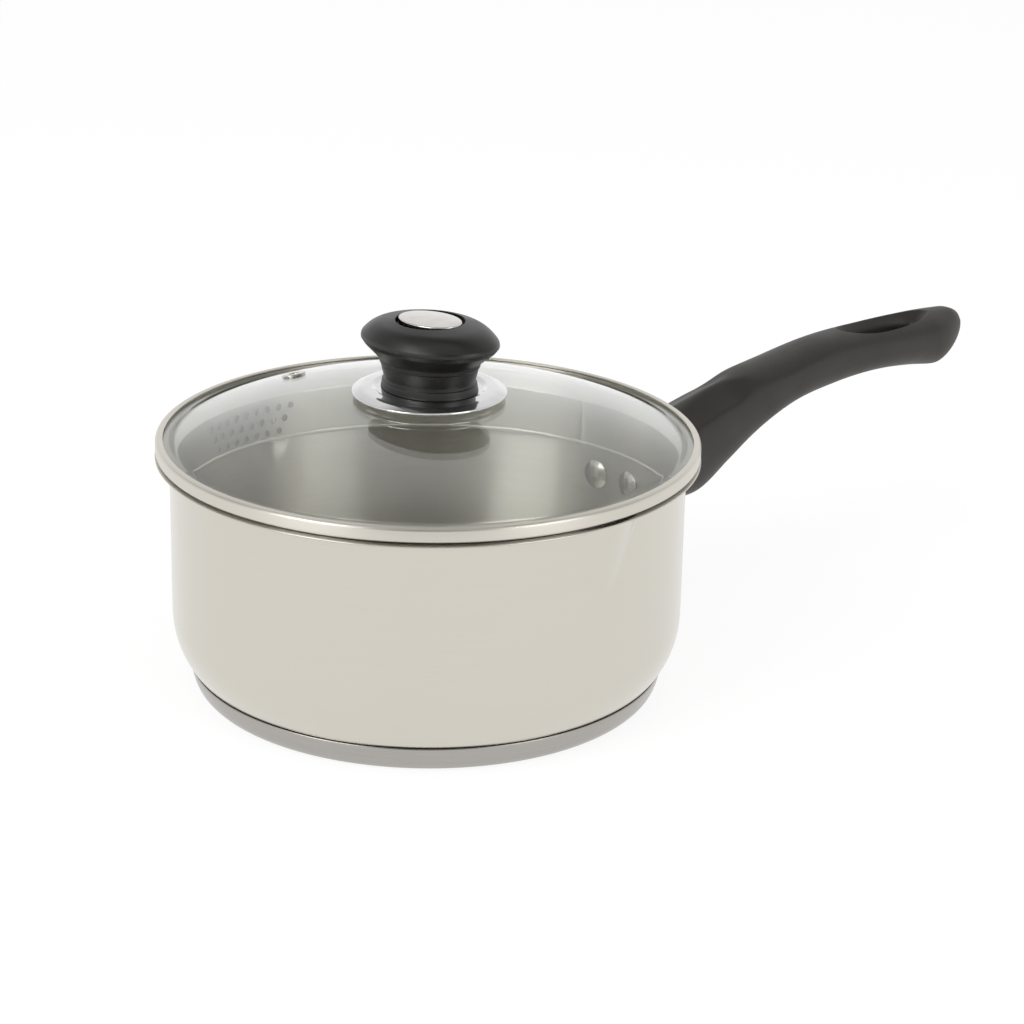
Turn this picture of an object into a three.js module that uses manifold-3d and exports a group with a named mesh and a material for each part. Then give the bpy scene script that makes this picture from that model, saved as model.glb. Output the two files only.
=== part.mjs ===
// Saucepan with a straining glass lid.
// Millimetres, +Z up. The origin is the centre of the base's underside. The handle points along +X
// and the two pouring spouts face +Y and -Y. The lid rests on the rim, turned a little off the spouts.

import * as THREE from 'three';
import { mergeVertices } from 'three/addons/utils/BufferGeometryUtils.js';
import Module from 'manifold-3d';

const wasm = await Module();
wasm.setup();

// ---------------------------------------------------------------- driving dimensions

const fitGap = 0.3;             // between pieces that rest on or pass through each other
const stackGap = 0.1;           // between the flat pieces stacked on the knob screw

// bowl
const panRadius = 90.6;         // outside of the straight wall
const panHeight = 85.5;         // top of the rim
const wallThickness = 0.6;
const rimOverhang = 5;          // how far the rim stands out from the wall
const rimBend = 3.2;            // bend between wall and rim
const cornerHeight = 28.5;      // where the straight wall begins
const cornerInset = 5.07;       // how far the corner has drawn in at the base seam
const seamHeight = 9.1;         // top edge of the base cap
const floorHeight = 5.6;        // underside of the bowl's floor
const floorCorner = 8;          // run of the tight bend between floor and corner

// pouring spouts, pressed outwards in the wall
const spoutHalfWidth = 15.5;
const spoutDepth = 4.2;
const spoutDrop = 27.5;         // how far down the wall a spout runs out

// sandwich base
const capThickness = 0.6;
const footInset = 13.1;         // flat standing face inside the wall's radius
const footBend = 4.3;           // run of the bend between foot and side
const coreInset = 2;            // core disc inside the foot's radius

// handle bracket and rivets
const mountHeight = 55.5;       // centre line of rivets and tang
const saddleThickness = 1.6;
const saddleHeight = 20;
const saddleCorner = 8.5;
const saddleMargin = 1.3;       // saddle beyond each rivet's tail
const tangLength = 32;
const tangHeight = 13;
const tailRoom = 0.6;           // between the tang and each rivet's tail
const rivetSpacing = 18;
const rivetHeadRadius = 5.35;
const rivetHeadHeight = 1.9;
const rivetShankRadius = 2.4;
const rivetTailRadius = 4;
const rivetTailHeight = 1.2;

// handle
const handleLength = 193;
const handleWidth = 27;
const handleDepth = 35.6;       // at the root, from top to underside
const noseHeight = 0.75;        // share of the tip's height, from keel to crest, where its point lies
const slotFromTip = 27.5;       // hanging slot, from its end to the tip
const slotLength = 43;
const slotWidth = 11.4;
const slotEasing = 3.2;         // how far the slot's mouth opens out at the sides
const slotEndSpread = 2.4;      // and how many times as far at the ends
const handleScrewOffset = 20;   // from the root to the screw
const handleScrewRadius = 2.3;
const handleScrewHeadRadius = 4.2;
const handleScrewHeadHeight = 2;
const screwRecess = 3.4;        // depth of the screw head's seat in the underside

// lid
const lidTurn = 9.7;            // degrees between straining holes and spouts
const bandInset = 0.2;          // band inside the pan's rim
const bandHeight = 5;
const bandThickness = 0.5;
const bandLip = 2.6;            // how far the band folds in over the glass
const bandLift = 1;             // from the pan's rim to the band's underside
const skirtClearance = 1.4;     // between skirt and pan wall
const skirtDepth = 19.6;        // skirt below the pan's rim
const hemWidth = 0.6;
const hemHeight = 1.4;
const glassThickness = 3;
const glassRise = 15.3;         // crown above the glass rim
const glassRimWidth = 4.6;      // flat rim of the glass
const glassSeatRadius = 12;     // flat middle of the glass
const glassHoleRadius = 4;

// straining holes: staggered rows, the top row one hole longer than the next
const strainRows = 3;
const strainTopRow = 9;
const strainPitch = 5.3;
const strainRowSpacing = 4.35;
const strainHoleRadius = 1.1;
const strainTopDrop = 7.4;      // from the pan's rim to the top row

// steam vent
const ventFromEdge = 30.4;      // from the lid's edge
const ventFlangeRadius = 4.4;
const ventTubeRadius = 2.9;
const ventBoreRadius = 1.9;
const ventFlangeThickness = 0.5;

// knob
const plateRadius = 27.1;
const plateFlatRadius = 18.6;
const plateDrop = 1.3;          // how far the plate's edge lies below its middle
const plateThickness = 0.8;
const sealThickness = 1.5;
const sealRadius = 8.4;
const knobHeight = 24.4;
const knobLength = 53;          // long axis of the oval cap
const knobWidth = 41;
const neckLength = 34.6;        // oval neck at its waist
const neckWidth = 30.2;
const discLength = 24.4;        // oval metal inlay
const discWidth = 18.2;
const discThickness = 0.9;
const discCrown = 1.2;          // how far the inlay bulges above the cap
const insertRadius = 3.9;
const insertLength = 11;
const washerRadius = 9;
const washerThickness = 1;
const knobScrewRadius = 1.95;
const knobScrewHeadRadius = 4;
const knobScrewHeadHeight = 2.4;
const screwSlotWidth = 1;

// facets
const roundSteps = 44;
const smallSteps = 18;
const spoutSteps = 10;
const flankSteps = 8;

// ---------------------------------------------------------------- derived sizes

const degrees = Math.PI / 180;
const wallInside = panRadius - wallThickness;
const footRadius = panRadius - footInset;
const bandRadius = panRadius + rimOverhang - bandInset;
const bandBottom = panHeight + bandLift;
const bandTop = bandBottom + bandHeight;
const glassRimRadius = bandRadius - bandThickness - fitGap;
const glassRimTop = bandTop - bandThickness - fitGap;
const glassTop = glassRimTop + glassRise;
const glassUnder = glassTop - glassThickness;
const ventDistance = bandRadius - ventFromEdge;
const plateTop = glassTop + 2 * stackGap + sealThickness + plateThickness;
const knobBase = plateTop + stackGap;
const skirtRadius = wallInside - skirtClearance;
const rivetAngle = Math.asin(rivetSpacing / 2 / panRadius) / degrees;
const saddleInside = panRadius + fitGap;
const saddleOutside = saddleInside + saddleThickness;
const saddleHalfWidth = rivetSpacing / 2 + rivetTailRadius + saddleMargin;
const tangWidth = rivetSpacing - 2 * (rivetTailRadius + tailRoom);
const handleRoot = panRadius + fitGap;
const handleScrewX = handleRoot + handleScrewOffset;
const slotStart = handleRoot + handleLength - slotFromTip - slotLength;

// ---------------------------------------------------------------- geometry helpers

const point2 = (x, y) => new THREE.Vector2(x, y);

/** The points of an arc about (x, y), from one angle to the other in degrees. */
function arc(x, y, radius, from, to, steps) {
  return Array.from({ length: steps + 1 }, (_, i) => {
    const angle = (from + ((to - from) * i) / steps) * degrees;
    return point2(x + radius * Math.cos(angle), y + radius * Math.sin(angle));
  });
}

/** Points moved sideways by a distance, to the left of the way the path runs. */
function offsetPath(points, distance) {
  return points.map((point, i) => {
    const before = points[Math.max(i - 1, 0)];
    const after = points[Math.min(i + 1, points.length - 1)];
    const along = after.clone().sub(before).normalize();
    return point2(point.x - along.y * distance, point.y + along.x * distance);
  });
}

/** A smooth value along a run: cubic pieces through [place, value] stations, flat beyond the ends. */
function smoothValue(stations, place) {
  const last = stations.length - 1;
  if (place <= stations[0][0]) return stations[0][1];
  if (place >= stations[last][0]) return stations[last][1];
  const i = stations.findIndex((station) => station[0] > place) - 1;
  const slope = (a, b) => (stations[b][1] - stations[a][1]) / (stations[b][0] - stations[a][0]);
  const start = slope(Math.max(i - 1, 0), i + 1);
  const end = slope(i, Math.min(i + 2, last));
  const run = stations[i + 1][0] - stations[i][0];
  const t = (place - stations[i][0]) / run;
  return (2 * t ** 3 - 3 * t ** 2 + 1) * stations[i][1] + (t ** 3 - 2 * t ** 2 + t) * run * start
    + (3 * t ** 2 - 2 * t ** 3) * stations[i + 1][1] + (t ** 3 - t ** 2) * run * end;
}

/** A closed skin over sections with equally many points; a middle point closes each end. */
function loft(sections) {
  const count = sections[0].length;
  const last = sections.length - 1;
  const middle = (section) => section.reduce((sum, point) => sum.add(point), new THREE.Vector3())
    .divideScalar(count);
  const points = [...sections.flat(), middle(sections[0]), middle(sections[last])];
  const faces = [];
  for (let j = 0; j < count; j += 1) {
    const next = (j + 1) % count;
    for (let i = 0; i < last; i += 1) {
      const [a, b] = [i * count + j, i * count + next];
      faces.push(a, b, a + count, b, b + count, a + count);
    }
    faces.push(sections.length * count, next, j);
    faces.push(sections.length * count + 1, last * count + j, last * count + next);
  }
  return facingOut(points, faces);
}

/** A geometry from points and faces, with the faces turned round if they point in. */
function facingOut(points, faces) {
  let volume = 0;
  for (let i = 0; i < faces.length; i += 3) {
    const [a, b, c] = faces.slice(i, i + 3).map((face) => points[face]);
    volume += a.dot(b.clone().cross(c));
  }
  const geometry = new THREE.BufferGeometry().setFromPoints(points);
  geometry.setIndex(volume < 0 ? faces.reverse() : faces);
  return geometry;
}

/** A turned piece: the closed outline of one side of its section, carried round the Z axis. */
function turned(outline, steps = roundSteps) {
  const ring = (angle) => outline.map(({ x, y }) => new THREE.Vector3(
    x * Math.cos(angle), x * Math.sin(angle), y,
  ));
  const points = Array.from({ length: steps }, (_, i) => ring((2 * Math.PI * i) / steps)).flat();
  const faces = [];
  for (let i = 0; i < steps; i += 1) {
    const next = ((i + 1) % steps) * outline.length;
    for (let j = 0; j < outline.length; j += 1) {
      const k = (j + 1) % outline.length;
      const [a, b, c, d] = [i * outline.length + j, i * outline.length + k, next + j, next + k];
      if (outline[j].x > 0) faces.push(a, b, c);
      if (outline[k].x > 0) faces.push(b, d, c);
    }
  }
  return facingOut(points, faces);
}

/** A solid for joining and cutting, from a geometry with shared vertices merged. */
function toSolid(geometry) {
  const bare = geometry.index ? geometry.toNonIndexed() : geometry.clone();
  bare.deleteAttribute('normal');
  bare.deleteAttribute('uv');
  const merged = mergeVertices(bare, 1e-5);
  const corners = Array.from(merged.index.array);
  const triVerts = [];
  for (let i = 0; i < corners.length; i += 3) {
    const [a, b, c] = corners.slice(i, i + 3);
    if (a !== b && b !== c && c !== a) triVerts.push(a, b, c);
  }
  const vertProperties = merged.attributes.position.array;
  const mesh = new wasm.Mesh({ numProp: 3, vertProperties, triVerts: Uint32Array.from(triVerts) });
  mesh.merge();
  return new wasm.Manifold(mesh);
}

/** The geometry of a joined or cut solid. */
function fromSolid(solid) {
  const mesh = solid.getMesh();
  const geometry = new THREE.BufferGeometry();
  geometry.setAttribute('position', new THREE.BufferAttribute(mesh.vertProperties, 3));
  geometry.setIndex(new THREE.BufferAttribute(mesh.triVerts, 1));
  return geometry;
}

/** A geometry with solids cut out of it. */
function cut(geometry, cutters) {
  return fromSolid(cutters.reduce((solid, cutter) => solid.subtract(toSolid(cutter)), toSolid(geometry)));
}

/** A round bar along +Z from one height to another. */
function bar(radius, from, to, steps = smallSteps) {
  return new THREE.CylinderGeometry(radius, radius, to - from, steps)
    .rotateX(Math.PI / 2).translate(0, 0, (from + to) / 2);
}

/** A box between two corners. */
function block(low, high) {
  return new THREE.BoxGeometry(high[0] - low[0], high[1] - low[1], high[2] - low[2])
    .translate((low[0] + high[0]) / 2, (low[1] + high[1]) / 2, (low[2] + high[2]) / 2);
}

/** A flat ring along Z. */
function washer(inside, outside, from, to, steps = smallSteps) {
  return turned([
    point2(inside, from), point2(outside, from), point2(outside, to), point2(inside, to),
  ], steps);
}

/** Turns a piece built along +Z so that it points outwards from the pan's axis at an angle. */
function radially(geometry, angle, height) {
  return geometry.rotateY(Math.PI / 2).rotateZ(angle * degrees).translate(0, 0, height);
}

/** An oval ring of points at one height, with its long axis along Y. */
function oval(length, width, height, steps = 28) {
  return Array.from({ length: steps }, (_, i) => {
    const angle = (2 * Math.PI * i) / steps;
    return new THREE.Vector3((width / 2) * Math.cos(angle), (length / 2) * Math.sin(angle), height);
  });
}

// ---------------------------------------------------------------- pan

/** Outside radius of the drawn corner at a height between the base seam and the straight wall. */
function cornerRadius(height) {
  return panRadius - cornerInset * ((cornerHeight - height) / (cornerHeight - seamHeight)) ** 2;
}

const seamRadius = cornerRadius(seamHeight);

/** Outside of the bowl in section, from the floor up to the edge of the rim. */
function bowlOutside() {
  const lean = (2 * cornerInset) / (cornerHeight - seamHeight);
  const bend = seamRadius - lean * (seamHeight - floorHeight);
  const tuck = new THREE.QuadraticBezierCurve(
    point2(bend - floorCorner, floorHeight), point2(bend, floorHeight), point2(seamRadius, seamHeight),
  ).getPoints(2);
  const corner = [0.25, 0.55, 1].map((share) => {
    const height = seamHeight + share * (cornerHeight - seamHeight);
    return point2(cornerRadius(height), height);
  });
  const rimBottom = panHeight - wallThickness;
  const wall = [0.35, 0.6, 0.8].map((share) => point2(
    panRadius, cornerHeight + share * (rimBottom - rimBend - cornerHeight),
  ));
  const flare = arc(panRadius + rimBend, rimBottom - rimBend, rimBend, 180, 90, 3);
  return [...tuck, ...corner, ...wall, ...flare, point2(panRadius + rimOverhang, rimBottom)];
}

/** How far the spouts push the wall out at a place on the wall. */
function spoutPush(angle, height) {
  const rise = THREE.MathUtils.clamp((height - panHeight + spoutDrop) / (spoutDrop - rimBend), 0, 1);
  if (rise === 0) return 0;
  const fromAxis = Math.acos(Math.abs(Math.sin(angle)));
  const across = (panRadius * fromAxis) / (spoutHalfWidth * Math.sqrt(rise));
  return across >= 1 ? 0 : spoutDepth * rise * (1 - across ** 2) ** 1.25;
}

/** Angles round the bowl, closer together across the spouts. */
function bowlAngles() {
  const span = Math.asin((spoutHalfWidth * 1.05) / panRadius);
  const open = Math.PI - 2 * span;
  const openSteps = Math.round((roundSteps * open) / (2 * Math.PI));
  const angles = [];
  for (const side of [90 * degrees, 270 * degrees]) {
    for (let i = 0; i < spoutSteps; i += 1) {
      angles.push(side - span + (2 * span * i) / spoutSteps);
    }
    for (let i = 0; i < openSteps; i += 1) {
      angles.push(side + span + (open * i) / openSteps);
    }
  }
  return angles;
}

/** Round ways through wall and saddle for the rivets' shanks. */
function shankWays() {
  const [from, to] = [wallInside - rimOverhang, saddleOutside + rimOverhang];
  return [rivetAngle, -rivetAngle].map((angle) => radially(
    bar(rivetShankRadius + fitGap, from, to, 16), angle, mountHeight,
  ));
}

function bowl() {
  const outside = bowlOutside();
  const inside = offsetPath(outside, wallThickness);
  inside[inside.length - 1].set(panRadius + rimOverhang, panHeight);
  const angles = bowlAngles();
  const rings = [...outside, ...inside.reverse()].map(({ x, y }) => angles.map((angle) => {
    const onRim = THREE.MathUtils.clamp((x - panRadius) / rimOverhang, 0, 1);
    const radius = x + spoutPush(angle, y) * (1 - onRim);
    return new THREE.Vector3(radius * Math.cos(angle), radius * Math.sin(angle), y);
  }));
  return cut(loft(rings), shankWays());
}

/** The cap that wraps the core: a shallow dish that leans out up to the seam. */
function baseCap() {
  const seam = point2(seamRadius + fitGap + capThickness, seamHeight - fitGap);
  const bend = new THREE.QuadraticBezierCurve(
    point2(footRadius, 0), point2(footRadius + footBend * 0.7, 0),
    point2(footRadius + footBend, footBend * 0.45),
  ).getPoints(3);
  const outside = [point2(0, 0), ...bend, seam];
  const inside = offsetPath(outside, capThickness);
  inside[0].set(0, capThickness);
  inside[inside.length - 1].set(seam.x - capThickness, seam.y);
  return turned([...outside, ...inside.reverse()]);
}

function baseCore() {
  const edge = 1;
  const [low, high] = [capThickness + fitGap, floorHeight - fitGap];
  const radius = footRadius - coreInset;
  return turned([
    point2(0, low), point2(radius - edge, low), point2(radius, low + edge),
    point2(radius, high - edge), point2(radius - edge, high), point2(0, high),
  ], 32);
}

// ---------------------------------------------------------------- bracket, rivets and handle

/** A slab with the saddle's round-cornered outline, standing across the X axis and widened by an offset. */
function saddleSlab(offset, from, to) {
  const [wide, high] = [saddleHalfWidth + offset, saddleHeight / 2 + offset];
  const corner = saddleCorner + offset;
  const outline = new THREE.Shape([[1, 1], [-1, 1], [-1, -1], [1, -1]].flatMap(([side, end], i) => arc(
    side * (wide - corner), end * (high - corner), corner, 90 * i, 90 * (i + 1), 4,
  )));
  return new THREE.ExtrudeGeometry(outline, { depth: to - from, bevelEnabled: false })
    .rotateX(Math.PI / 2).rotateZ(Math.PI / 2).translate(from, 0, mountHeight);
}

/** Saddle plate that hugs the wall, with a bar tang between the rivets. */
function handleBracket() {
  const [low, high] = [mountHeight - tangHeight / 2, mountHeight + tangHeight / 2];
  const ring = washer(saddleInside, saddleOutside, 0, panHeight, 2 * roundSteps);
  const saddle = toSolid(ring).intersect(toSolid(saddleSlab(0, 0, saddleOutside + 1)));
  const tang = toSolid(block(
    [saddleInside + saddleThickness / 2, -tangWidth / 2, low],
    [saddleOutside + tangLength, tangWidth / 2, high],
  ));
  const screwHole = bar(handleScrewRadius + fitGap, low - 1, high + 1, 16).translate(handleScrewX, 0, 0);
  return cut(fromSolid(saddle.add(tang)), [screwHole, ...shankWays()]);
}

/** A domed rivet, head inside the pan and flat tail outside the saddle. */
function rivet(angle) {
  const headSeat = Math.sqrt(wallInside ** 2 - rivetHeadRadius ** 2) - fitGap;
  const tailSeat = saddleOutside + fitGap;
  const domeRadius = (rivetHeadRadius ** 2 + rivetHeadHeight ** 2) / (2 * rivetHeadHeight);
  const halfAngle = Math.asin(rivetHeadRadius / domeRadius) / degrees;
  const dome = arc(0, headSeat - rivetHeadHeight + domeRadius, domeRadius, 270, 270 + halfAngle, 3);
  dome[0].x = 0;
  const outline = [
    ...dome,
    point2(rivetShankRadius, headSeat), point2(rivetShankRadius, tailSeat),
    point2(rivetTailRadius, tailSeat), point2(rivetTailRadius - 0.5, tailSeat + rivetTailHeight),
    point2(0, tailSeat + rivetTailHeight),
  ];
  return radially(turned(outline, 16), angle, mountHeight);
}

// Outline of the handle: [share of its length, height above the mount's centre line over handleDepth].
const handleTop = [
  [0, 0.64], [0.12, 0.62], [0.26, 0.765], [0.41, 0.867], [0.57, 0.979], [0.73, 1.003], [0.9, 0.982],
  [1, 0.968],
];
const handleUnder = [
  [0, -0.354], [0.1, -0.343], [0.184, -0.343], [0.26, -0.129], [0.357, 0.163], [0.44, 0.335], [0.57, 0.441],
  [0.73, 0.467], [0.82, 0.418], [0.9, 0.353], [1, 0.366],
];
// How square the sides are: the power of their curve.
const sectionPower = [[0.1, 3], [0.3, 2.4]];
// Half widths over handleWidth: of the widest line, and of the crease between top and side.
const handleSide = [
  [0, 0.64], [0.1, 0.6], [0.25, 0.53], [0.45, 0.47], [0.6, 0.45], [0.75, 0.48], [0.9, 0.5],
];
const handleCrease = [[0, 0.5], [0.3, 0.44], [0.5, 0.4], [0.7, 0.37]];
// The top face: how far the crease lies below the crest over handleDepth, and the power of the curve
// between them. It is deep and straight at the thumb scoops beside the pan, shallow and round beyond.
const creaseDrop = [[0, 0.165], [0.25, 0.175], [0.31, 0.16], [0.38, 0.09], [0.6, 0.079], [1, 0.084]];
const crownPower = [[0.24, 1.1], [0.38, 2.2]];

// How crest, keel and sides close on the nose at the tip: [length over handleWidth, power of the curve].
const tipCrest = [0.314, 1.64];
const tipKeel = [0.779, 1.35];
const tipSides = [0.9, 1.69];

/** Height of the handle's crest or keel at a share of its length. */
function handleLine(stations, share) {
  return mountHeight + handleDepth * smoothValue(stations, share);
}

/** One side of the handle's section as [across, height] points, from crest to keel. */
function handleHalfSection(share) {
  const [top, under] = [handleLine(handleTop, share), handleLine(handleUnder, share)];
  const side = handleWidth * smoothValue(handleSide, share);
  const crease = handleWidth * smoothValue(handleCrease, share);
  const drop = handleDepth * smoothValue(creaseDrop, share);
  const crown = smoothValue(crownPower, share);
  const waist = (top + under) / 2;
  const power = smoothValue(sectionPower, share);
  const reach = (1 - (crease / side) ** power) ** (1 / power);
  const shoulder = (top - drop - waist) / reach;
  const start = Math.asin(reach ** (power / 2));
  const crest = [0, 0.4, 0.75, 1].map((s) => [crease * s, top - drop * s ** crown]);
  const flank = Array.from({ length: flankSteps - 1 }, (_, i) => {
    const angle = start - ((i + 1) / flankSteps) * (start + Math.PI / 2);
    const rise = Math.sign(Math.sin(angle)) * Math.abs(Math.sin(angle)) ** (2 / power);
    const across = side * Math.abs(Math.cos(angle)) ** (2 / power);
    return [across, waist + rise * (rise > 0 ? shoulder : waist - under)];
  });
  return [...crest, ...flank, [0, under]];
}

/** Size left at a distance from the tip where a form closes there. */
function closing(fromTip, [length, power]) {
  const part = THREE.MathUtils.clamp(1 - fromTip / (length * handleWidth), 0, 1);
  return Math.max((1 - part ** power) ** (1 / power), 0.02);
}

/** The whole section at a share of the handle's length, drawn together on the nose near the tip. */
function handleSection(share) {
  const fromTip = Math.max((1 - share) * handleLength, 0);
  const half = handleHalfSection(share);
  const [crest, keel] = [half[0][1], half.at(-1)[1]];
  const nose = keel + noseHeight * (crest - keel);
  const other = half.slice(1, -1).reverse().map(([across, height]) => [-across, height]);
  return [...half, ...other].map(([across, height]) => new THREE.Vector3(
    handleRoot + share * handleLength, across * closing(fromTip, tipSides),
    nose + (height - nose) * closing(fromTip, height > nose ? tipCrest : tipKeel),
  ));
}

/** The slot's oval outline, widened all round by an offset and sunk below the crest by a depth. */
function slotOutline(offset, depth) {
  const centre = slotStart + slotLength / 2;
  const crest = handleLine(handleTop, (centre - handleRoot) / handleLength);
  const [long, wide] = [slotLength / 2 + offset * slotEndSpread, slotWidth / 2 + offset];
  return arc(0, 0, 1, 0, 345, 23).map(({ x, y }) => new THREE.Vector3(
    centre + long * x, wide * y, crest - depth,
  ));
}

/** What the hanging slot takes out of the handle: straight sides below a mouth that opens out. */
function hangingSlot() {
  return loft([
    slotOutline(0, handleDepth), slotOutline(0, 2 * slotEasing), slotOutline(slotEasing * 0.3, slotEasing),
    slotOutline(slotEasing, 0), slotOutline(slotEasing, -handleDepth),
  ]);
}

/** Round ways cut into the grip for the rivets' tails. */
function tailWays() {
  return [rivetAngle, -rivetAngle].map((angle) => radially(
    bar(rivetTailRadius + fitGap, saddleInside, saddleOutside + rivetTailHeight + 2 * fitGap, 16),
    angle, mountHeight,
  ));
}

/** The moulded grip: its end hugs the pan's wall and hides the saddle, tang and rivet tails. */
function handleGrip() {
  const straight = 1 - (tipSides[0] * handleWidth) / handleLength;
  const wrap = saddleHalfWidth ** 2 / panRadius;
  const shares = [
    -wrap / handleLength,
    ...Array.from({ length: 19 }, (_, i) => (straight * i) / 19),
    ...[0, 0.22, 0.42, 0.6, 0.74, 0.85, 0.93, 0.98, 1].map((step) => straight + (1 - straight) * step),
  ];
  const grip = loft(shares.map(handleSection));
  const [low, high] = [mountHeight - tangHeight / 2, mountHeight + tangHeight / 2];
  const tangWay = block(
    [0, -tangWidth / 2 - fitGap, low - fitGap],
    [saddleOutside + tangLength + fitGap, tangWidth / 2 + fitGap, high + fitGap],
  );
  const underside = handleLine(handleUnder, handleScrewOffset / handleLength);
  const screwWay = bar(handleScrewRadius + fitGap, underside - screwRecess, high, 16);
  const headWay = bar(
    handleScrewHeadRadius + fitGap, underside - 2 * screwRecess, underside + screwRecess, 20,
  );
  const wall = bar(handleRoot, 0, 2 * panHeight, 2 * roundSteps);
  return cut(grip, [
    saddleSlab(fitGap, 0, saddleOutside + fitGap), tangWay,
    screwWay.translate(handleScrewX, 0, 0), headWay.translate(handleScrewX, 0, 0),
    wall, hangingSlot(), ...tailWays(),
  ]);
}

/** The screw that holds the grip: it seats in the underside and threads into the tang. */
function handleScrew() {
  const underside = handleLine(handleUnder, handleScrewOffset / handleLength);
  const headTop = underside + screwRecess - fitGap;
  const headBottom = headTop - handleScrewHeadHeight;
  const end = mountHeight + tangHeight / 2 + fitGap;
  const body = turned([
    point2(0, headBottom), point2(handleScrewHeadRadius * 0.8, headBottom),
    point2(handleScrewHeadRadius, headBottom + 0.6), point2(handleScrewHeadRadius, headTop),
    point2(handleScrewRadius, headTop), point2(handleScrewRadius, end), point2(0, end),
  ], 20);
  const slot = block(
    [-handleScrewHeadRadius, -screwSlotWidth / 2, headBottom - 1],
    [handleScrewHeadRadius, screwSlotWidth / 2, headBottom + handleScrewHeadHeight / 2],
  );
  return cut(body, [slot]).translate(handleScrewX, 0, 0);
}

// ---------------------------------------------------------------- lid

/** Height of the glass's top face at a distance from the axis. */
function glassHeight(radius) {
  const edge = glassRimRadius - glassRimWidth;
  const share = THREE.MathUtils.clamp((radius - glassSeatRadius) / (edge - glassSeatRadius), 0, 1);
  return glassTop - glassRise * share ** 2;
}

/** How steeply the glass falls there, in degrees. */
function glassSlope(radius) {
  const step = 0.5;
  return Math.atan2(glassHeight(radius - step) - glassHeight(radius + step), 2 * step) / degrees;
}

/** The vent's place and lean, for the vent and for its hole. */
function atVent(geometry) {
  return geometry.rotateX(-glassSlope(ventDistance) * degrees)
    .translate(0, ventDistance, glassHeight(ventDistance));
}

function lidGlass() {
  const edge = glassRimRadius - glassRimWidth;
  const radii = [0, 0.25, 0.45, 0.63, 0.82, 1].map(
    (share) => glassSeatRadius + share * (edge - glassSeatRadius),
  );
  const top = [point2(glassHoleRadius, glassTop), ...radii.map((r) => point2(r, glassHeight(r))),
    point2(glassRimRadius, glassRimTop)];
  const under = offsetPath(top, -glassThickness);
  under[0].x = glassHoleRadius;
  under[under.length - 1].x = glassRimRadius;
  const glass = turned([...top, ...under.reverse()]);
  const ventHole = atVent(bar(ventTubeRadius + fitGap, -2 * glassThickness, glassThickness, 16));
  return cut(glass, [ventHole]);
}

/** Where the 45 degree shoulder crosses a given height, just clear of the pan's flared rim. */
function shoulderRadius(height) {
  const bend = rimBend + wallThickness + fitGap;
  const touchRadius = panRadius + rimBend - bend * Math.SQRT1_2;
  const touchHeight = panHeight - rimBend - wallThickness + bend * Math.SQRT1_2;
  return touchRadius + height - touchHeight;
}

/** One strip in section: lip over the glass, rim, shoulder, skirt and folded hem. */
function strainerBand() {
  const corner = 1;
  const skirtTop = bandBottom - (shoulderRadius(bandBottom) - skirtRadius);
  const skirtBottom = panHeight - skirtDepth;
  const outside = [
    point2(bandRadius - bandLip, bandTop),
    ...arc(bandRadius - corner, bandTop - corner, corner, 90, 0, 2),
    ...arc(bandRadius - corner, bandBottom + corner, corner, 0, -90, 2),
    point2(shoulderRadius(bandBottom), bandBottom),
    point2(skirtRadius, skirtTop),
    point2(skirtRadius, skirtBottom + hemHeight),
    point2(skirtRadius + hemWidth / 2, skirtBottom + hemHeight / 2),
    point2(skirtRadius, skirtBottom),
  ];
  const inside = offsetPath(outside, -bandThickness).filter((_, i) => ![2, 5].includes(i)).slice(0, -4);
  inside[0].set(bandRadius - bandLip, bandTop - bandThickness);
  const innerSkirt = skirtRadius - bandThickness;
  const hem = [
    point2(innerSkirt, skirtBottom),
    point2(innerSkirt - hemWidth / 2, skirtBottom + hemHeight / 2),
    point2(innerSkirt, skirtBottom + hemHeight),
    point2(innerSkirt, skirtTop - bandThickness * 0.4),
  ];
  const strip = turned([...outside, ...hem, ...inside.reverse()]);
  return fromSolid(toSolid(strip).subtract(strainHoles()));
}

/** Every straining hole as one solid: staggered rows on two opposite sides. */
function strainHoles() {
  const holes = [];
  for (const side of [90, 270]) {
    for (let row = 0; row < strainRows; row += 1) {
      const count = strainTopRow - row;
      const height = panHeight - strainTopDrop - row * strainRowSpacing;
      for (let i = 0; i < count; i += 1) {
        const angle = side + ((i - (count - 1) / 2) * strainPitch) / skirtRadius / degrees;
        const hole = bar(strainHoleRadius, skirtRadius - 2, skirtRadius + 1, 6);
        holes.push(toSolid(radially(hole, angle, height)));
      }
    }
  }
  return wasm.Manifold.union(holes);
}

/** An eyelet through the glass, with a flange above and below. */
function steamVent() {
  const [top, bottom] = [fitGap, -glassThickness - fitGap];
  return atVent(turned([
    point2(ventBoreRadius, top + ventFlangeThickness),
    point2(ventFlangeRadius - 0.4, top + ventFlangeThickness), point2(ventFlangeRadius, top),
    point2(ventTubeRadius, top), point2(ventTubeRadius, bottom),
    point2(ventFlangeRadius, bottom), point2(ventFlangeRadius, bottom - ventFlangeThickness),
    point2(ventBoreRadius, bottom - ventFlangeThickness),
  ], 20));
}

// ---------------------------------------------------------------- knob

function basePlate() {
  const bore = knobScrewRadius + fitGap;
  const outside = [
    point2(bore, plateTop), point2(plateFlatRadius, plateTop),
    point2(plateFlatRadius + (plateRadius - plateFlatRadius) * 0.55, plateTop - plateDrop * 0.4),
    point2(plateRadius - 0.4, plateTop - plateDrop), point2(plateRadius, plateTop - plateDrop - 0.4),
  ];
  const under = offsetPath(outside, -plateThickness);
  under[0].x = bore;
  under[4].set(plateRadius - 0.3, plateTop - plateDrop - plateThickness - 0.2);
  return turned([...outside, ...under.reverse()], 40);
}

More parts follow.
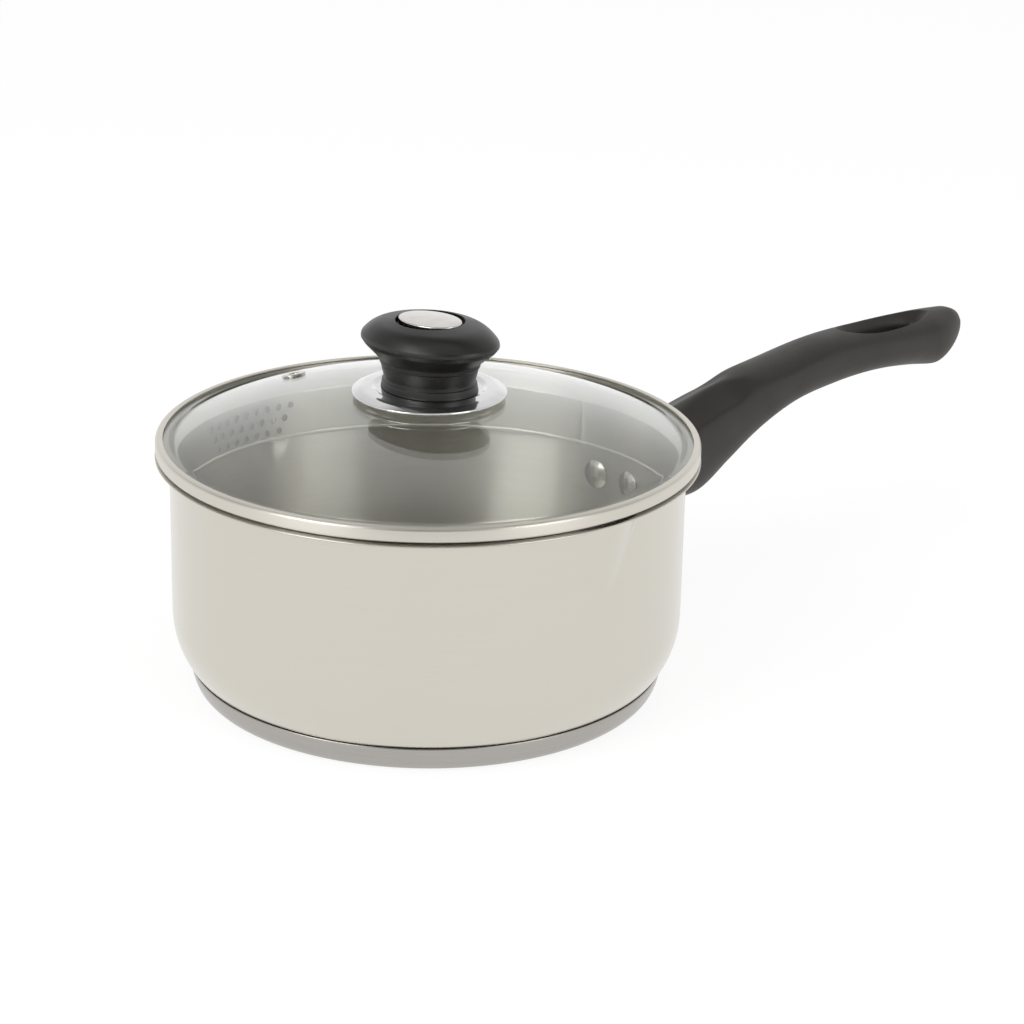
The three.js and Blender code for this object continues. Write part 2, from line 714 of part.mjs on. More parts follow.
/** Sections of the knob: [height share, share from neck size to cap size]. */
const knobSections = [
  [0, 0.13], [0.075, 0.13], [0.09, 0.05], [0.15, 0], [0.28, 0.05], [0.34, 0.19], [0.42, 0.21],
  [0.45, 0.28], [0.62, 0.86], [0.67, 0.97], [0.71, 1], [0.75, 1], [0.79, 0.93],
];

function knobGrip() {
  const [recessLength, recessWidth] = [discLength + 2 * fitGap, discWidth + 2 * fitGap];
  const between = (a, b, share) => a + (b - a) * share;
  const body = knobSections.map(([height, share]) => oval(
    between(neckLength, knobLength, share), between(neckWidth, knobWidth, share),
    knobBase + height * knobHeight,
  ));
  const [edgeHeight, edgeShare] = knobSections.at(-1);
  const crown = [0.3, 0.6, 0.85, 1].map((s) => oval(
    between(between(neckLength, knobLength, edgeShare), recessLength + 1.6, s),
    between(between(neckWidth, knobWidth, edgeShare), recessWidth + 1.6, s),
    knobBase + knobHeight * between(edgeHeight, 1, s ** 0.72),
  ));
  const recess = loft([
    oval(recessLength, recessWidth, knobBase + knobHeight - discThickness - stackGap),
    oval(recessLength, recessWidth, knobBase + knobHeight + 1),
  ]);
  const insertWay = bar(insertRadius + fitGap, knobBase - 1, knobBase + insertLength + fitGap);
  return cut(loft([...body, ...crown]), [recess, insertWay]);
}

/** Oval metal inlay, a little crowned. */
function capDisc() {
  const low = knobBase + knobHeight - discThickness;
  const rise = (size) => discThickness + discCrown * (1 - size ** 2);
  return loft([[1, 0], [1, discThickness * 0.8], [0.94, rise(0.94)], [0.7, rise(0.7)], [0.3, rise(0.3)]].map(
    ([size, height]) => oval(discLength * size, discWidth * size, low + height),
  ));
}

function knobInsert() {
  return washer(knobScrewRadius + fitGap, insertRadius, knobBase + stackGap, knobBase + insertLength);
}

function upperSeal() {
  return washer(glassHoleRadius, sealRadius, glassTop + stackGap, glassTop + stackGap + sealThickness);
}

function lowerSeal() {
  const high = glassUnder - stackGap;
  return washer(knobScrewRadius + fitGap, sealRadius, high - sealThickness, high);
}

function lowerWasher() {
  const high = glassUnder - 2 * stackGap - sealThickness;
  return washer(knobScrewRadius + fitGap, washerRadius, high - washerThickness, high);
}

function knobScrew() {
  const headTop = glassUnder - 3 * stackGap - sealThickness - washerThickness;
  const headBottom = headTop - knobScrewHeadHeight;
  const end = knobBase + insertLength - fitGap;
  const body = turned([
    point2(0, headBottom), point2(knobScrewHeadRadius * 0.7, headBottom),
    point2(knobScrewHeadRadius, headBottom + knobScrewHeadHeight * 0.5),
    point2(knobScrewHeadRadius, headTop), point2(knobScrewRadius, headTop),
    point2(knobScrewRadius, end), point2(0, end),
  ], 20);
  const slot = block(
    [-knobScrewHeadRadius, -screwSlotWidth / 2, headBottom - 1],
    [knobScrewHeadRadius, screwSlotWidth / 2, headBottom + knobScrewHeadHeight / 2],
  );
  return cut(body, [slot]);
}

// ---------------------------------------------------------------- assembly

const finish = (color, metalness, roughness, extra = {}) => (
  new THREE.MeshStandardMaterial({ color, metalness, roughness, ...extra })
);
const finishes = {
  polishedSteel: finish('#cfcbc3', 1, 0.22),
  brushedSteel: finish('#c6c3bc', 1, 0.38),
  aluminium: finish('#b9bbbd', 1, 0.5),
  phenolic: finish('#2b2a28', 0, 0.45),
  glass: finish('#e4ebe8', 0, 0.05, { transparent: true, opacity: 0.35 }),
  chrome: finish('#dcdddd', 1, 0.08),
  zincSteel: finish('#a9aaa8', 1, 0.45),
  brass: finish('#b89a57', 1, 0.4),
  silicone: finish('#d8d6d0', 0, 0.6),
};

function named(name, geometry, material) {
  const mesh = new THREE.Mesh(geometry, material);
  mesh.name = name;
  return mesh;
}

const pan = new THREE.Group();
pan.add(
  named('pan_body', bowl(), finishes.polishedSteel),
  named('base_core', baseCore(), finishes.aluminium),
  named('base_cap', baseCap(), finishes.polishedSteel),
  named('handle_bracket', handleBracket(), finishes.zincSteel),
  named('rivet_left', rivet(rivetAngle), finishes.brushedSteel),
  named('rivet_right', rivet(-rivetAngle), finishes.brushedSteel),
  named('handle_grip', handleGrip(), finishes.phenolic),
  named('handle_screw', handleScrew(), finishes.zincSteel),
);

const lid = new THREE.Group();
lid.rotation.z = lidTurn * degrees;
lid.add(
  named('lid_glass', lidGlass(), finishes.glass),
  named('strainer_band', strainerBand(), finishes.brushedSteel),
  named('steam_vent', steamVent(), finishes.brushedSteel),
  named('knob_base_plate', basePlate(), finishes.chrome),
  named('knob_grip', knobGrip(), finishes.phenolic),
  named('knob_cap_disc', capDisc(), finishes.brushedSteel),
  named('knob_insert', knobInsert(), finishes.brass),
  named('knob_seal_upper', upperSeal(), finishes.silicone),
  named('knob_seal_lower', lowerSeal(), finishes.silicone),
  named('knob_lower_washer', lowerWasher(), finishes.zincSteel),
  named('knob_screw', knobScrew(), finishes.zincSteel),
);

const saucepan = new THREE.Group();
saucepan.add(pan, lid);

export default saucepan;
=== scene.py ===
"""Saucepan with a straining glass lid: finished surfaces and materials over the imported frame.

Metres, +Z up. The origin is the centre of the base's underside, the handle points along +X and the
two pouring spouts face +Y and -Y. The lid is turned a little about Z, off the spouts.
"""

import math

import bpy
import numpy as np
from bpy.props import FloatProperty, IntProperty, PointerProperty, StringProperty
from mathutils import Matrix, Vector


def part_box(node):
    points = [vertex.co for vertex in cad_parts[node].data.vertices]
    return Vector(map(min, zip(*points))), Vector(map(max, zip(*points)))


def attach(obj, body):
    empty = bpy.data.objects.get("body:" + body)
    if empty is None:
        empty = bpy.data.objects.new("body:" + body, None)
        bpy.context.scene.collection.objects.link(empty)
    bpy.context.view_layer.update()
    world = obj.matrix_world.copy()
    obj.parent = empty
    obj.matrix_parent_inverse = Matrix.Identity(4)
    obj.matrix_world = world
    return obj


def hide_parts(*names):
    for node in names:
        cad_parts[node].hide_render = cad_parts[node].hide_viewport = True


bl_info = {
    "name": "Saucepan with straining lid",
    "version": (1, 0, 0),
    "blender": (4, 5, 0),
    "location": "View3D > Sidebar > Saucepan",
    "description": "Builds the finished pan, handle, straining lid and knob over the packed frame",
    "category": "Object",
}

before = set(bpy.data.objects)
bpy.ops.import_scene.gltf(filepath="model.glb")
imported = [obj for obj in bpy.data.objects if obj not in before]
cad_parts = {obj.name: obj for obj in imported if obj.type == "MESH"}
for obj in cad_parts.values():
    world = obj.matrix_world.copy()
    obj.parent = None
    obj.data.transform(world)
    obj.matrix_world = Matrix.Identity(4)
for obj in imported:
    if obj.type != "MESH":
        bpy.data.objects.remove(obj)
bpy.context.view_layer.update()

MM = 0.001
FULL_TURN = 2 * np.pi
WHITE = (1, 1, 1, 1)
CREASE = 35  # degrees: edges sharper than this stay crisp
POLE_RING = 1.5 * MM  # radius of the last ring of a dish, which a fan closes


# ---------------------------------------------------------------- places taken from the frame

def reach(node):
    """Greatest distance of a node's surface from the pan's axis."""
    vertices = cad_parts[node].data.vertices
    points = np.empty(3 * len(vertices))
    vertices.foreach_get("co", points)
    return float(np.hypot(points[0::3], points[1::3]).max())


def middle(node):
    """Centre of a node's box."""
    low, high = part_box(node)
    return (low + high) / 2


def bottom(node):
    """Height of a node's lowest point."""
    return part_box(node)[0].z


def top(node):
    """Height of a node's highest point."""
    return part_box(node)[1].z


def wall_radius(pan):
    """Outside radius of the bowl's straight wall, which lies in from the rim's edge."""
    return reach("pan_body") - pan.rim_overhang


def lid_turn():
    """Angle about Z between the lid's own straining axis and the pan's spouts."""
    vent = middle("steam_vent")
    return math.atan2(vent.y, vent.x) - math.pi / 2


# ---------------------------------------------------------------- sizes and colours a user would change

def number(name, description, default, **kind):
    """A number property, with a unit or subtype where it has one."""
    return FloatProperty(name=name, description=description, default=default, **kind)


def length(name, description, millimetres):
    """A length property; its default is given in millimetres."""
    return number(name, description, millimetres * MM, min=0, unit="LENGTH", precision=5)


def degrees(name, description, default):
    """An angle property; its default is given in degrees."""
    return number(name, description, math.radians(default), subtype="ANGLE")


def colour(name, description, default):
    """A colour kept as an sRGB hex value, as a paint or metal chart gives it."""
    return StringProperty(name=name, description=description, default=default)


class SaucepanPanSizes(bpy.types.PropertyGroup):
    """Sizes of the drawn bowl, its spouts, its base and its rivets."""

    wall: length("Wall", "Thickness of the drawn sheet", 0.6)
    rim_overhang: length("Rim overhang", "How far the rim stands out from the wall", 5)
    rim_bend: length("Rim bend", "Outside radius of the bend between wall and rim", 3.2)
    corner_height: length("Corner height", "Where the straight wall begins", 30.5)
    corner_inset: length("Corner inset", "How far the corner has drawn in at the base seam", 6.6)
    corner_power: number("Corner power", "Power of the corner's curve: the larger, the later it bends", 2.5)
    seam_height: length("Seam height", "Where bowl and base cap meet", 9.2)
    floor_corner: length("Floor corner", "Run of the bend between floor and corner", 8)
    spout_half_width: length("Spout half width", "Half the width of a spout at the rim", 15.6)
    spout_depth: length("Spout depth", "How far a spout stands out at the rim", 4.2)
    spout_drop: length("Spout drop", "How far below the rim a spout runs out", 27.5)
    spout_tip: length("Spout tip", "Rounding of the spout's lower end", 5)
    spout_bend: number("Spout bend", "Rounding across a spout's middle, over its half width", 0.35)
    spout_crease: length("Spout crease", "Softness of the crease along a spout's edge", 0.12)
    cap_thickness: length("Cap thickness", "Sheet of the base cap", 0.6)
    foot_radius: length("Foot radius", "Flat standing face of the base", 78.6)
    foot_bend: length("Foot bend", "Run of the bend between foot and side", 3.2)
    cap_lip: length("Cap lip", "How far the cap's edge stands out from the bowl at the seam", 0.5)
    rivet_edge: length("Rivet edge", "Rounded edge of a rivet's head", 0.5)


class SaucepanHandleSizes(bpy.types.PropertyGroup):
    """Sizes of the moulded handle."""

    width: length("Width", "Width that the side outline is measured in", 27)
    depth: length("Depth", "Height of the handle at its root", 35.6)
    nose: number("Nose", "Height of the tip's point between keel and crest", 0.75)
    scoop_end: number("Scoop end", "Share of the length where the thumb scoops run out", 0.35)
    scoop_depth: length("Scoop depth", "How hollow a thumb scoop is across its face", 0.9)
    crease: length("Crease", "Softness of the creases between the faces", 1.1)
    slot_from_tip: length("Slot from tip", "From the hanging slot's end to the tip", 27.5)
    slot_length: length("Slot length", "Length of the hanging slot, below its mouth", 43)
    slot_width: length("Slot width", "Width of the hanging slot, below its mouth", 11.4)
    slot_opening: length("Slot opening", "How far the slot's mouth opens out at the sides", 3.2)
    slot_end_spread: number("Slot end spread", "How many times as far its mouth opens at the ends", 1.7)
    slot_end_skew: number("Slot end skew", "How much more of that lies at the tip's end", 1.4)


class SaucepanLidSizes(bpy.types.PropertyGroup):
    """Sizes of the glass, the straining band and the vent."""

    glass_thickness: length("Glass thickness", "Tempered glass", 3)
    glass_rim_width: length("Glass rim", "Flat rim of the glass inside the band", 4.6)
    glass_seat: length("Glass seat", "Radius of the flat middle under the knob", 12)
    glass_hole: length("Glass hole", "Radius of the hole for the knob's screw", 4)
    band_height: length("Band height", "Height of the rim part of the band", 5)
    band_thickness: length("Band thickness", "Steel strip", 0.5)
    band_lip: length("Band lip", "How far the band folds in over the glass", 2.6)
    band_corner: length("Band corner", "Rounding of the band's edges", 1.1)
    skirt_radius: length("Skirt radius", "Outside of the straining skirt", 88.6)
    hem_width: length("Hem width", "How far the folded hem stands out", 0.45)
    hem_height: length("Hem height", "Height of the folded hem", 1.5)
    rim_clearance: length("Rim clearance", "Between the band's shoulder and the pan's rim", 0.3)
    hole_pitch: length("Hole pitch", "Spacing of the straining holes along a row", 5.3)
    hole_row_spacing: length("Hole row spacing", "Spacing of the rows", 4.35)
    hole_radius: length("Hole radius", "Radius of a straining hole", 1.3)
    hole_top_drop: length("Hole top drop", "From the pan's rim to the top row", 7.4)
    hole_rows: IntProperty(name="Hole rows", description="Rows of straining holes", default=3)
    hole_top_row: IntProperty(name="Top row", description="Holes in the top row", default=9)
    weld_width: length("Weld width", "Width of the butt weld in the skirt", 0.6)
    weld_depth: length("Weld depth", "Depth of the butt weld in the skirt", 0.2)
    vent_flange_radius: length("Vent flange", "Radius of the vent's flanges", 4.4)
    vent_tube_radius: length("Vent tube", "Outside of the vent's tube", 2.9)
    vent_bore_radius: length("Vent bore", "Bore of the vent", 1.9)
    vent_flange_thickness: length("Vent flange thickness", "Rolled flange", 0.6)


class SaucepanKnobSizes(bpy.types.PropertyGroup):
    """Sizes of the knob, its plate and its fixings."""

    plate_flat_radius: length("Plate flat", "Flat middle of the base plate", 18.6)
    plate_crown: length("Plate crown", "How far the plate's ring rises above its middle", 0.9)
    plate_drop: length("Plate drop", "How far the plate's edge lies below its middle", 0.8)
    plate_thickness: length("Plate thickness", "Chrome-plated sheet", 0.8)
    neck_length: length("Neck length", "Long axis of the oval neck at its waist", 34)
    neck_width: length("Neck width", "Short axis of the oval neck at its waist", 29.6)
    cap_length: length("Cap length", "Long axis of the oval cap", 53)
    cap_width: length("Cap width", "Short axis of the oval cap", 41)
    disc_length: length("Disc length", "Long axis of the metal inlay", 24.4)
    disc_width: length("Disc width", "Short axis of the metal inlay", 18.2)
    disc_crown: length("Disc crown", "How far the metal inlay bulges", 0.8)
    disc_edge: length("Disc edge", "Rounding of the metal inlay's edge", 0.35)
    fit: length("Fit", "Gap round the metal inlay", 0.1)


class SaucepanFinishes(bpy.types.PropertyGroup):
    """Colours of the finishes, and the sizes of their patterns."""

    steel: colour("Steel", "Stainless steel, as a mirror polish shows it", "#d0ccc2")
    steel_inside: colour("Steel inside", "Stainless steel, brushed", "#d6d2c8")
    # darker than the wall's steel: painted shade, standing in for the shadowed floor that the cap mirrors
    steel_base_painted_shade: colour("Steel base", "Stainless steel of the pressed base cap", "#aca9a4")
    steel_band: colour("Steel band", "Stainless steel strip with a satin finish", "#d6d2c8")
    inlay: colour("Inlay", "Stainless steel of the knob's inlay", "#dddad6")
    phenolic_handle: colour("Handle phenolic", "Black moulded phenolic resin of the handle", "#25221e")
    # the same black resin as the handle, made darker as painted shade for the knob's neck
    phenolic_knob_painted_shade: colour("Knob phenolic", "Black moulded phenolic resin of the knob", "#141210")
    chrome: colour("Chrome", "Chrome plating", "#e6e6e6")
    zinc: colour("Zinc", "Zinc-plated steel", "#b4b4b0")
    brass: colour("Brass", "Turned brass", "#c2a35c")
    aluminium: colour("Aluminium", "Cast aluminium core", "#c4c6c8")
    silicone: colour("Silicone", "Translucent white silicone rubber", "#dedcd6")
    brush_spacing: length("Brush spacing", "Spacing of the brush lines, drawn coarse enough to show", 0.7)
    grain: length("Grain", "Grain of the moulded resin's skin", 0.35)


class SaucepanStage(bpy.types.PropertyGroup):
    """Camera, floor and light."""

    distance: length("Distance", "From the camera to its aim point", 1000)
    pitch: degrees("Pitch", "How far the camera looks down", 20.26)
    azimuth: degrees("Azimuth", "View direction about Z", 41.8)
    roll: degrees("Roll", "Roll about the view direction", 1.27)
    aim_side: length("Aim side", "Aim point, to the right of the pan's axis", 29.7)
    aim_height: length("Aim height", "Aim point, above the floor", 62.9)
    focal: number("Focal length", "Lens", 99.3, unit="CAMERA")
    sky: number("Sky", "Strength of the plain dome that lights matt surfaces", 0.62)
    floor_glow: number("Floor glow", "How much of the floor's brightness owes nothing to the lamps", 0.8)
    key_power: number("Key power", "Large soft light to the left of the camera", 12.0, unit="POWER")
    fill_power: number("Fill power", "Soft light to the right", 6.0, unit="POWER")
    top_power: number("Top power", "Soft light overhead", 3.5, unit="POWER")


# ---------------------------------------------------------------- outlines

def unit(vectors):
    """Vectors scaled to length one."""
    return vectors / np.linalg.norm(vectors, axis=-1, keepdims=True)


def distinct(path):
    """A path without points that repeat the one before."""
    step = np.linalg.norm(np.diff(path, axis=0), axis=1)
    return path[np.append(True, step > 1e-8)]


def rounded(corners, steps=6):
    """An outline through (x, height, rounding) corners: each corner becomes an arc that touches both of
    its legs, found by turning from one contact point to the other about the arc's centre. A corner with
    no rounding stays sharp."""
    corners = np.array(corners, float)
    place, radius = corners[:, :2], corners[:, 2:]
    back, ahead = unit(np.roll(place, 1, 0) - place), unit(np.roll(place, -1, 0) - place)
    opening = np.arccos(np.clip(np.sum(back * ahead, axis=1, keepdims=True), -1, 0.999999))
    opening = np.minimum(opening, np.pi - 1e-4)
    centre = place + unit(back + ahead + 1e-12) * radius / np.sin(opening / 2)
    start = place + back * radius / np.tan(opening / 2) - centre
    end = place + ahead * radius / np.tan(opening / 2) - centre
    turn = (np.pi - opening)[:, None]
    part = np.linspace(0, 1, steps + 1)[:, None]
    arcs = centre[:, None] + (
        np.sin((1 - part) * turn) * start[:, None] + np.sin(part * turn) * end[:, None]
    ) / np.sin(turn)
    return distinct(arcs.reshape(-1, 2))


def dense(path, spacing):
    """A path with points added evenly along its legs, so that none is longer than the spacing."""
    legs = np.diff(path, axis=0)
    count = np.maximum(np.ceil(np.linalg.norm(legs, axis=1) / spacing).astype(int), 1)
    leg = np.repeat(np.arange(len(legs)), count)
    step = np.arange(count.sum()) - np.repeat(np.cumsum(count) - count, count)
    return np.concatenate([path[leg] + legs[leg] * (step / count[leg])[:, None], path[-1:]])


def bezier(start, pull, end, steps=8):
    """A quadratic curve from start to end, drawn towards pull."""
    t = np.linspace(0, 1, steps + 1)[:, None]
    return (1 - t) ** 2 * np.array(start) + 2 * t * (1 - t) * np.array(pull) + t**2 * np.array(end)


def quarter(centre, radius, start, end, steps=10):
    """An arc about a centre between two angles in degrees."""
    angle = np.radians(np.linspace(start, end, steps + 1))
    return np.array(centre) + radius * np.stack([np.cos(angle), np.sin(angle)], -1)


def beside(path, distance):
    """A path moved sideways, to the left of the way it runs, along its own normals."""
    along = unit(np.gradient(path, axis=0))
    return path + distance * np.stack([-along[:, 1], along[:, 0]], -1)


def smooth_value(stations, place):
    """A cubic through (place, value) stations that takes each slope from the stations beside it."""
    where, value = np.array(stations, float).T
    slope = np.gradient(value, where)
    place = np.clip(place, where[0], where[-1])
    i = np.clip(np.searchsorted(where, place, side="right") - 1, 0, len(where) - 2)
    run = where[i + 1] - where[i]
    t = (place - where[i]) / run
    return (
        (2 * t**3 - 3 * t**2 + 1) * value[i] + (t**3 - 2 * t**2 + t) * run * slope[i]
        + (3 * t**2 - 2 * t**3) * value[i + 1] + (t**3 - t**2) * run * slope[i + 1]
    )


def smooth_low(a, b, softness):
    """The lower of two values, with the corner between them rounded off."""
    return (a + b - np.sqrt((a - b) ** 2 + softness**2)) / 2


def smooth_step(value):
    """Rises from 0 to 1 without a kink at either end."""
    value = np.clip(value, 0, 1)
    return value * value * (3 - 2 * value)


# ---------------------------------------------------------------- surfaces and meshes

def round_axis(radius, angle, height):
    """Places at a radius from the Z axis, an angle about it and a height."""
    return np.stack(np.broadcast_arrays(radius * np.cos(angle), radius * np.sin(angle), height), -1)


def turned(profile, angles):
    """A surface of revolution: every (radius, height) of the profile carried round the Z axis."""
    return round_axis(profile[:, :1], angles, profile[:, 1:])


def about_axis(points, angle):
    """Points turned about the Z axis."""
    x, y, z = np.moveaxis(points, -1, 0)
    return np.stack([
        x * math.cos(angle) - y * math.sin(angle), x * math.sin(angle) + y * math.cos(angle), z,
    ], -1)


def whole_turn(steps):
    """Evenly spaced angles round a circle."""
    return np.arange(steps) * FULL_TURN / steps


def cells(rows, columns, wrap_rows):
    """Corner numbers of every cell of a grid that wraps round its columns, and round its rows if asked."""
    i = np.arange(rows if wrap_rows else rows - 1)[:, None]
    j = np.arange(columns)[None]
    below, next_column = (i + 1) % rows, (j + 1) % columns
    return np.stack([
        i * columns + j, i * columns + next_column, below * columns + next_column, below * columns + j,
    ], -1)


def ring_shell(grid):
    """Points and faces of a grid that wraps both ways, such as a section carried round an axis."""
    return grid.reshape(-1, 3), [cells(*grid.shape[:2], True).reshape(-1, 4)]


def capped_shell(grid, first, last):
    """Points and faces of a grid that wraps round its columns, closed at each end by a fan to a point."""
    rows, columns = grid.shape[:2]
    points = np.concatenate([grid.reshape(-1, 3), [first, last]])
    j = np.arange(columns)
    ahead, end = (j + 1) % columns, (rows - 1) * columns
    fans = np.concatenate([
        np.stack([np.full(columns, rows * columns), ahead, j], -1),
        np.stack([np.full(columns, rows * columns + 1), end + j, end + ahead], -1),
    ])
    return points, [cells(rows, columns, False).reshape(-1, 4), fans]


def pierced_shell(grid, partner, removed):
    """Points and faces of a grid that wraps both ways, with cells of one skin left out together with
    those of the opposite skin, and a wall from skin to skin round each gap. partner gives each row's
    opposite row, and removed marks the cells left out of the first skin."""
    rows, columns = grid.shape[:2]
    quads = cells(rows, columns, True)
    i, j = np.nonzero(removed)
    gone = removed.copy()
    gone[partner[(i + 1) % rows], j] = True

    def point(row, column):
        """Number of a grid point, counted along the rows and wrapped round them."""
        return row * columns + column % columns

    def wall(mask, a_row, a_column, b_row, b_column):
        """Quads from the edges a to b of the marked cells across to the same edges on the other skin."""
        i, j = np.nonzero(mask)
        a = (i + a_row) % rows, j + a_column
        b = (i + b_row) % rows, j + b_column
        return np.stack([point(*a), point(*b), point(partner[b[0]], b[1]), point(partner[a[0]], a[1])], -1)

    above, left = np.roll(removed, 1, 0), np.roll(removed, 1, 1)
    walls = [
        wall(removed & ~above, 0, 0, 0, 1), wall(above & ~removed, 0, 1, 0, 0),
        wall(removed & ~left, 1, 0, 0, 0), wall(left & ~removed, 0, 0, 1, 0),
    ]
    return grid.reshape(-1, 3), [np.concatenate([quads[~gone], *walls])]


def round_gaps(across, along, centres_across, centres_along, half, radius):
    """Moves grid places near holes so that each hole's block of cells gets a round edge. Places are drawn
    in or out from the nearest centre until the block's edge lies on the circle, fading to nothing at
    twice the block's size. Returns the moved places and how far each was from its centre in blocks."""
    right, up = across - centres_across, along - centres_along
    block = np.maximum(np.abs(right) / half[0], np.abs(up) / half[1])
    distance = np.maximum(np.hypot(right, up), 1e-9)
    pull = 1 + (radius * block / distance - 1) * np.clip(2 - block, 0, 1)
    return centres_across + right * pull, centres_along + up * pull, block


def inside_cells(blocks):
    """Marks the cells of a grid whose four corners all lie within the block of a hole."""
    beside_it = np.roll(blocks, -1, 1)
    furthest = np.maximum.reduce([blocks, beside_it, np.roll(blocks, -1, 0), np.roll(beside_it, -1, 0)])
    return furthest <= 1 + 1e-6


def facing_out(points, faces):
    """Faces turned round if the volume that they enclose comes out negative. The volume is summed over
    the fan of triangles that each face splits into, as corner times the cross of the other two."""
    volume = 0.0
    for group in faces:
        corners = points[group]
        for k in range(1, group.shape[1] - 1):
            volume += np.sum(corners[:, 0] * np.cross(corners[:, k], corners[:, k + 1]))
    return [group[:, ::-1] for group in faces] if volume < 0 else faces


def in_scene(name, data):
    """A new object in the scene that shows its data."""
    made = bpy.data.objects.new(name, data)
    bpy.context.scene.collection.objects.link(made)
    return made


def make_piece(name, shell, materials, crease=CREASE, material_rows=None):
    """A mesh object from (points, faces), smooth except over edges sharper than the crease in degrees."""
    points, faces = shell
    faces = facing_out(points, faces)
    sizes = np.concatenate([np.full(len(group), group.shape[1]) for group in faces])
    mesh = bpy.data.meshes.new(name)
    mesh.vertices.add(len(points))
    mesh.vertices.foreach_set("co", points.astype(np.float32).ravel())
    mesh.loops.add(int(sizes.sum()))
    mesh.loops.foreach_set("vertex_index", np.concatenate([g.ravel() for g in faces]).astype(np.int32))
    mesh.polygons.add(len(sizes))
    mesh.polygons.foreach_set("loop_start", (np.cumsum(sizes) - sizes).astype(np.int32))
    for made in materials:
        mesh.materials.append(made)
    if material_rows is not None:
        mesh.polygons.foreach_set("material_index", material_rows.astype(np.int32))
    mesh.update(calc_edges=True)
    mesh.validate()
    mesh.shade_smooth()
    mesh.set_sharp_from_angle(angle=math.radians(crease))
    return in_scene(name, mesh)


def settle(piece, body, slot, *nodes):
    """Puts a finished piece in the frame: it rides on a body and stands for its CAD nodes."""
    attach(piece, body)
    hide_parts(*nodes)


def dress(slot, finish_name, *nodes):
    """Gives CAD nodes that stay in view their finished material."""
    for node in nodes:
        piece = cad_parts[node]
        piece.data.materials.clear()
        piece.data.materials.append(finish(finish_name))
        piece.data.shade_smooth()
        piece.data.set_sharp_from_angle(angle=math.radians(CREASE))


# ---------------------------------------------------------------- materials

def linear(hex_colour):
    """An sRGB hex value as a linear RGBA colour."""
    srgb = np.array([int(hex_colour[i:i + 2], 16) for i in (1, 3, 5)]) / 255
    return (*np.where(srgb <= 0.04045, srgb / 12.92, ((srgb + 0.055) / 1.055) ** 2.4), 1.0)


def add_node(tree, kind, settings=None, inputs=None):
    """Adds a node with its own settings; each input takes a value or the socket that feeds it."""
    node = tree.nodes.new(kind)
    for name, value in (settings or {}).items():
        setattr(node, name, value)
    for name, value in (inputs or {}).items():
        if isinstance(value, bpy.types.NodeSocket):
            tree.links.new(value, node.inputs[name])
        else:
            node.inputs[name].default_value = value
    return node


def new_material(name):
    """An empty node material and its tree."""
    made = bpy.data.materials.new(name)
    made.use_nodes = True
    made.node_tree.nodes.clear()
    return made, made.node_tree


def give_surface(tree, kind, inputs):
    """Ends a material's tree with a shader of the kind, as its surface."""
    shader = add_node(tree, kind, None, inputs)
    add_node(tree, "ShaderNodeOutputMaterial", None, {"Surface": shader.outputs[0]})


def arithmetic(tree, operation, *values):
    """A number worked out from others, each a value or the socket that feeds it."""
    return add_node(tree, "ShaderNodeMath", {"operation": operation}, dict(enumerate(values))).outputs[0]


def parts(tree, vector):
    """The three coordinates of a vector's socket."""
    return add_node(tree, "ShaderNodeSeparateXYZ", None, {0: vector}).outputs


def noise(tree, place, scale, detail, roughness):
    """Noise over a place's socket, as a factor."""
    return add_node(tree, "ShaderNodeTexNoise", None, {
        "Vector": place, "Scale": scale, "Detail": detail, "Roughness": roughness,
    }).outputs["Fac"]


def brush_lines(tree, spacing, run):
    """Noise drawn out into lines round the axis: it changes over the spacing from line to line, along
    radius plus height, and only slowly over the run of a line."""
    place = add_node(tree, "ShaderNodeTexCoord").outputs["Object"]
    flat = add_node(tree, "ShaderNodeVectorMath", {"operation": "MULTIPLY"}, {0: place, 1: (1, 1, 0)})
    radius = add_node(tree, "ShaderNodeVectorMath", {"operation": "LENGTH"}, {0: flat.outputs[0]})
    x, y, height = parts(tree, place)
    across = arithmetic(tree, "ADD", radius.outputs["Value"], height)
    joined = add_node(tree, "ShaderNodeCombineXYZ", None, {
        "X": arithmetic(tree, "DIVIDE", x, run), "Y": arithmetic(tree, "DIVIDE", y, run),
        "Z": arithmetic(tree, "DIVIDE", across, spacing),
    })
    return noise(tree, joined.outputs[0], 1.0, 3.0, 0.6)


def soft_clouds(tree, size, roughness=0.5):
    """Soft patches of a given size in metres."""
    return noise(tree, add_node(tree, "ShaderNodeTexCoord").outputs["Object"], 1 / size, 2.0, roughness)


def bumped(tree, factor, depth, normal=None, strength=1.0):
    """A normal tilted as a skin would tilt it whose height follows a factor, up to the depth."""
    inputs = {"Strength": strength, "Distance": depth, "Height": factor}
    if normal:
        inputs["Normal"] = normal
    return add_node(tree, "ShaderNodeBump", None, inputs).outputs[0]


def between(tree, factor, low, high):
    """A number that runs from low to high over the middle of a noise factor's range."""
    return add_node(tree, "ShaderNodeMapRange", {"clamp": True}, {
        "Value": factor, "From Min": 0.3, "From Max": 0.7, "To Min": low, "To Max": high,
    }).outputs[0]


def smooth_rise(tree, value, start, end):
    """A number that rises from 0 to 1 without a kink while a value goes from start to end."""
    return add_node(tree, "ShaderNodeMapRange", {"interpolation_type": "SMOOTHSTEP"}, {
        "Value": value, "From Min": start, "From Max": end,
    }).outputs[0]


def mixed(tree, factor, first, second):
    """A colour between two others, each a linear colour or the socket that feeds it."""
    sockets = {0: factor, 6: first, 7: second}
    return add_node(tree, "ShaderNodeMix", {"data_type": "RGBA"}, sockets).outputs[2]


def toned(tree, factor, hex_colour, dark, light):
    """A colour that a noise factor takes from its dark share to its light share."""
    base = linear(hex_colour)[:3]
    low, high = ((*(min(1.0, channel * tone) for channel in base), 1.0) for tone in (dark, light))
    return mixed(tree, between(tree, factor, 0, 1), low, high)


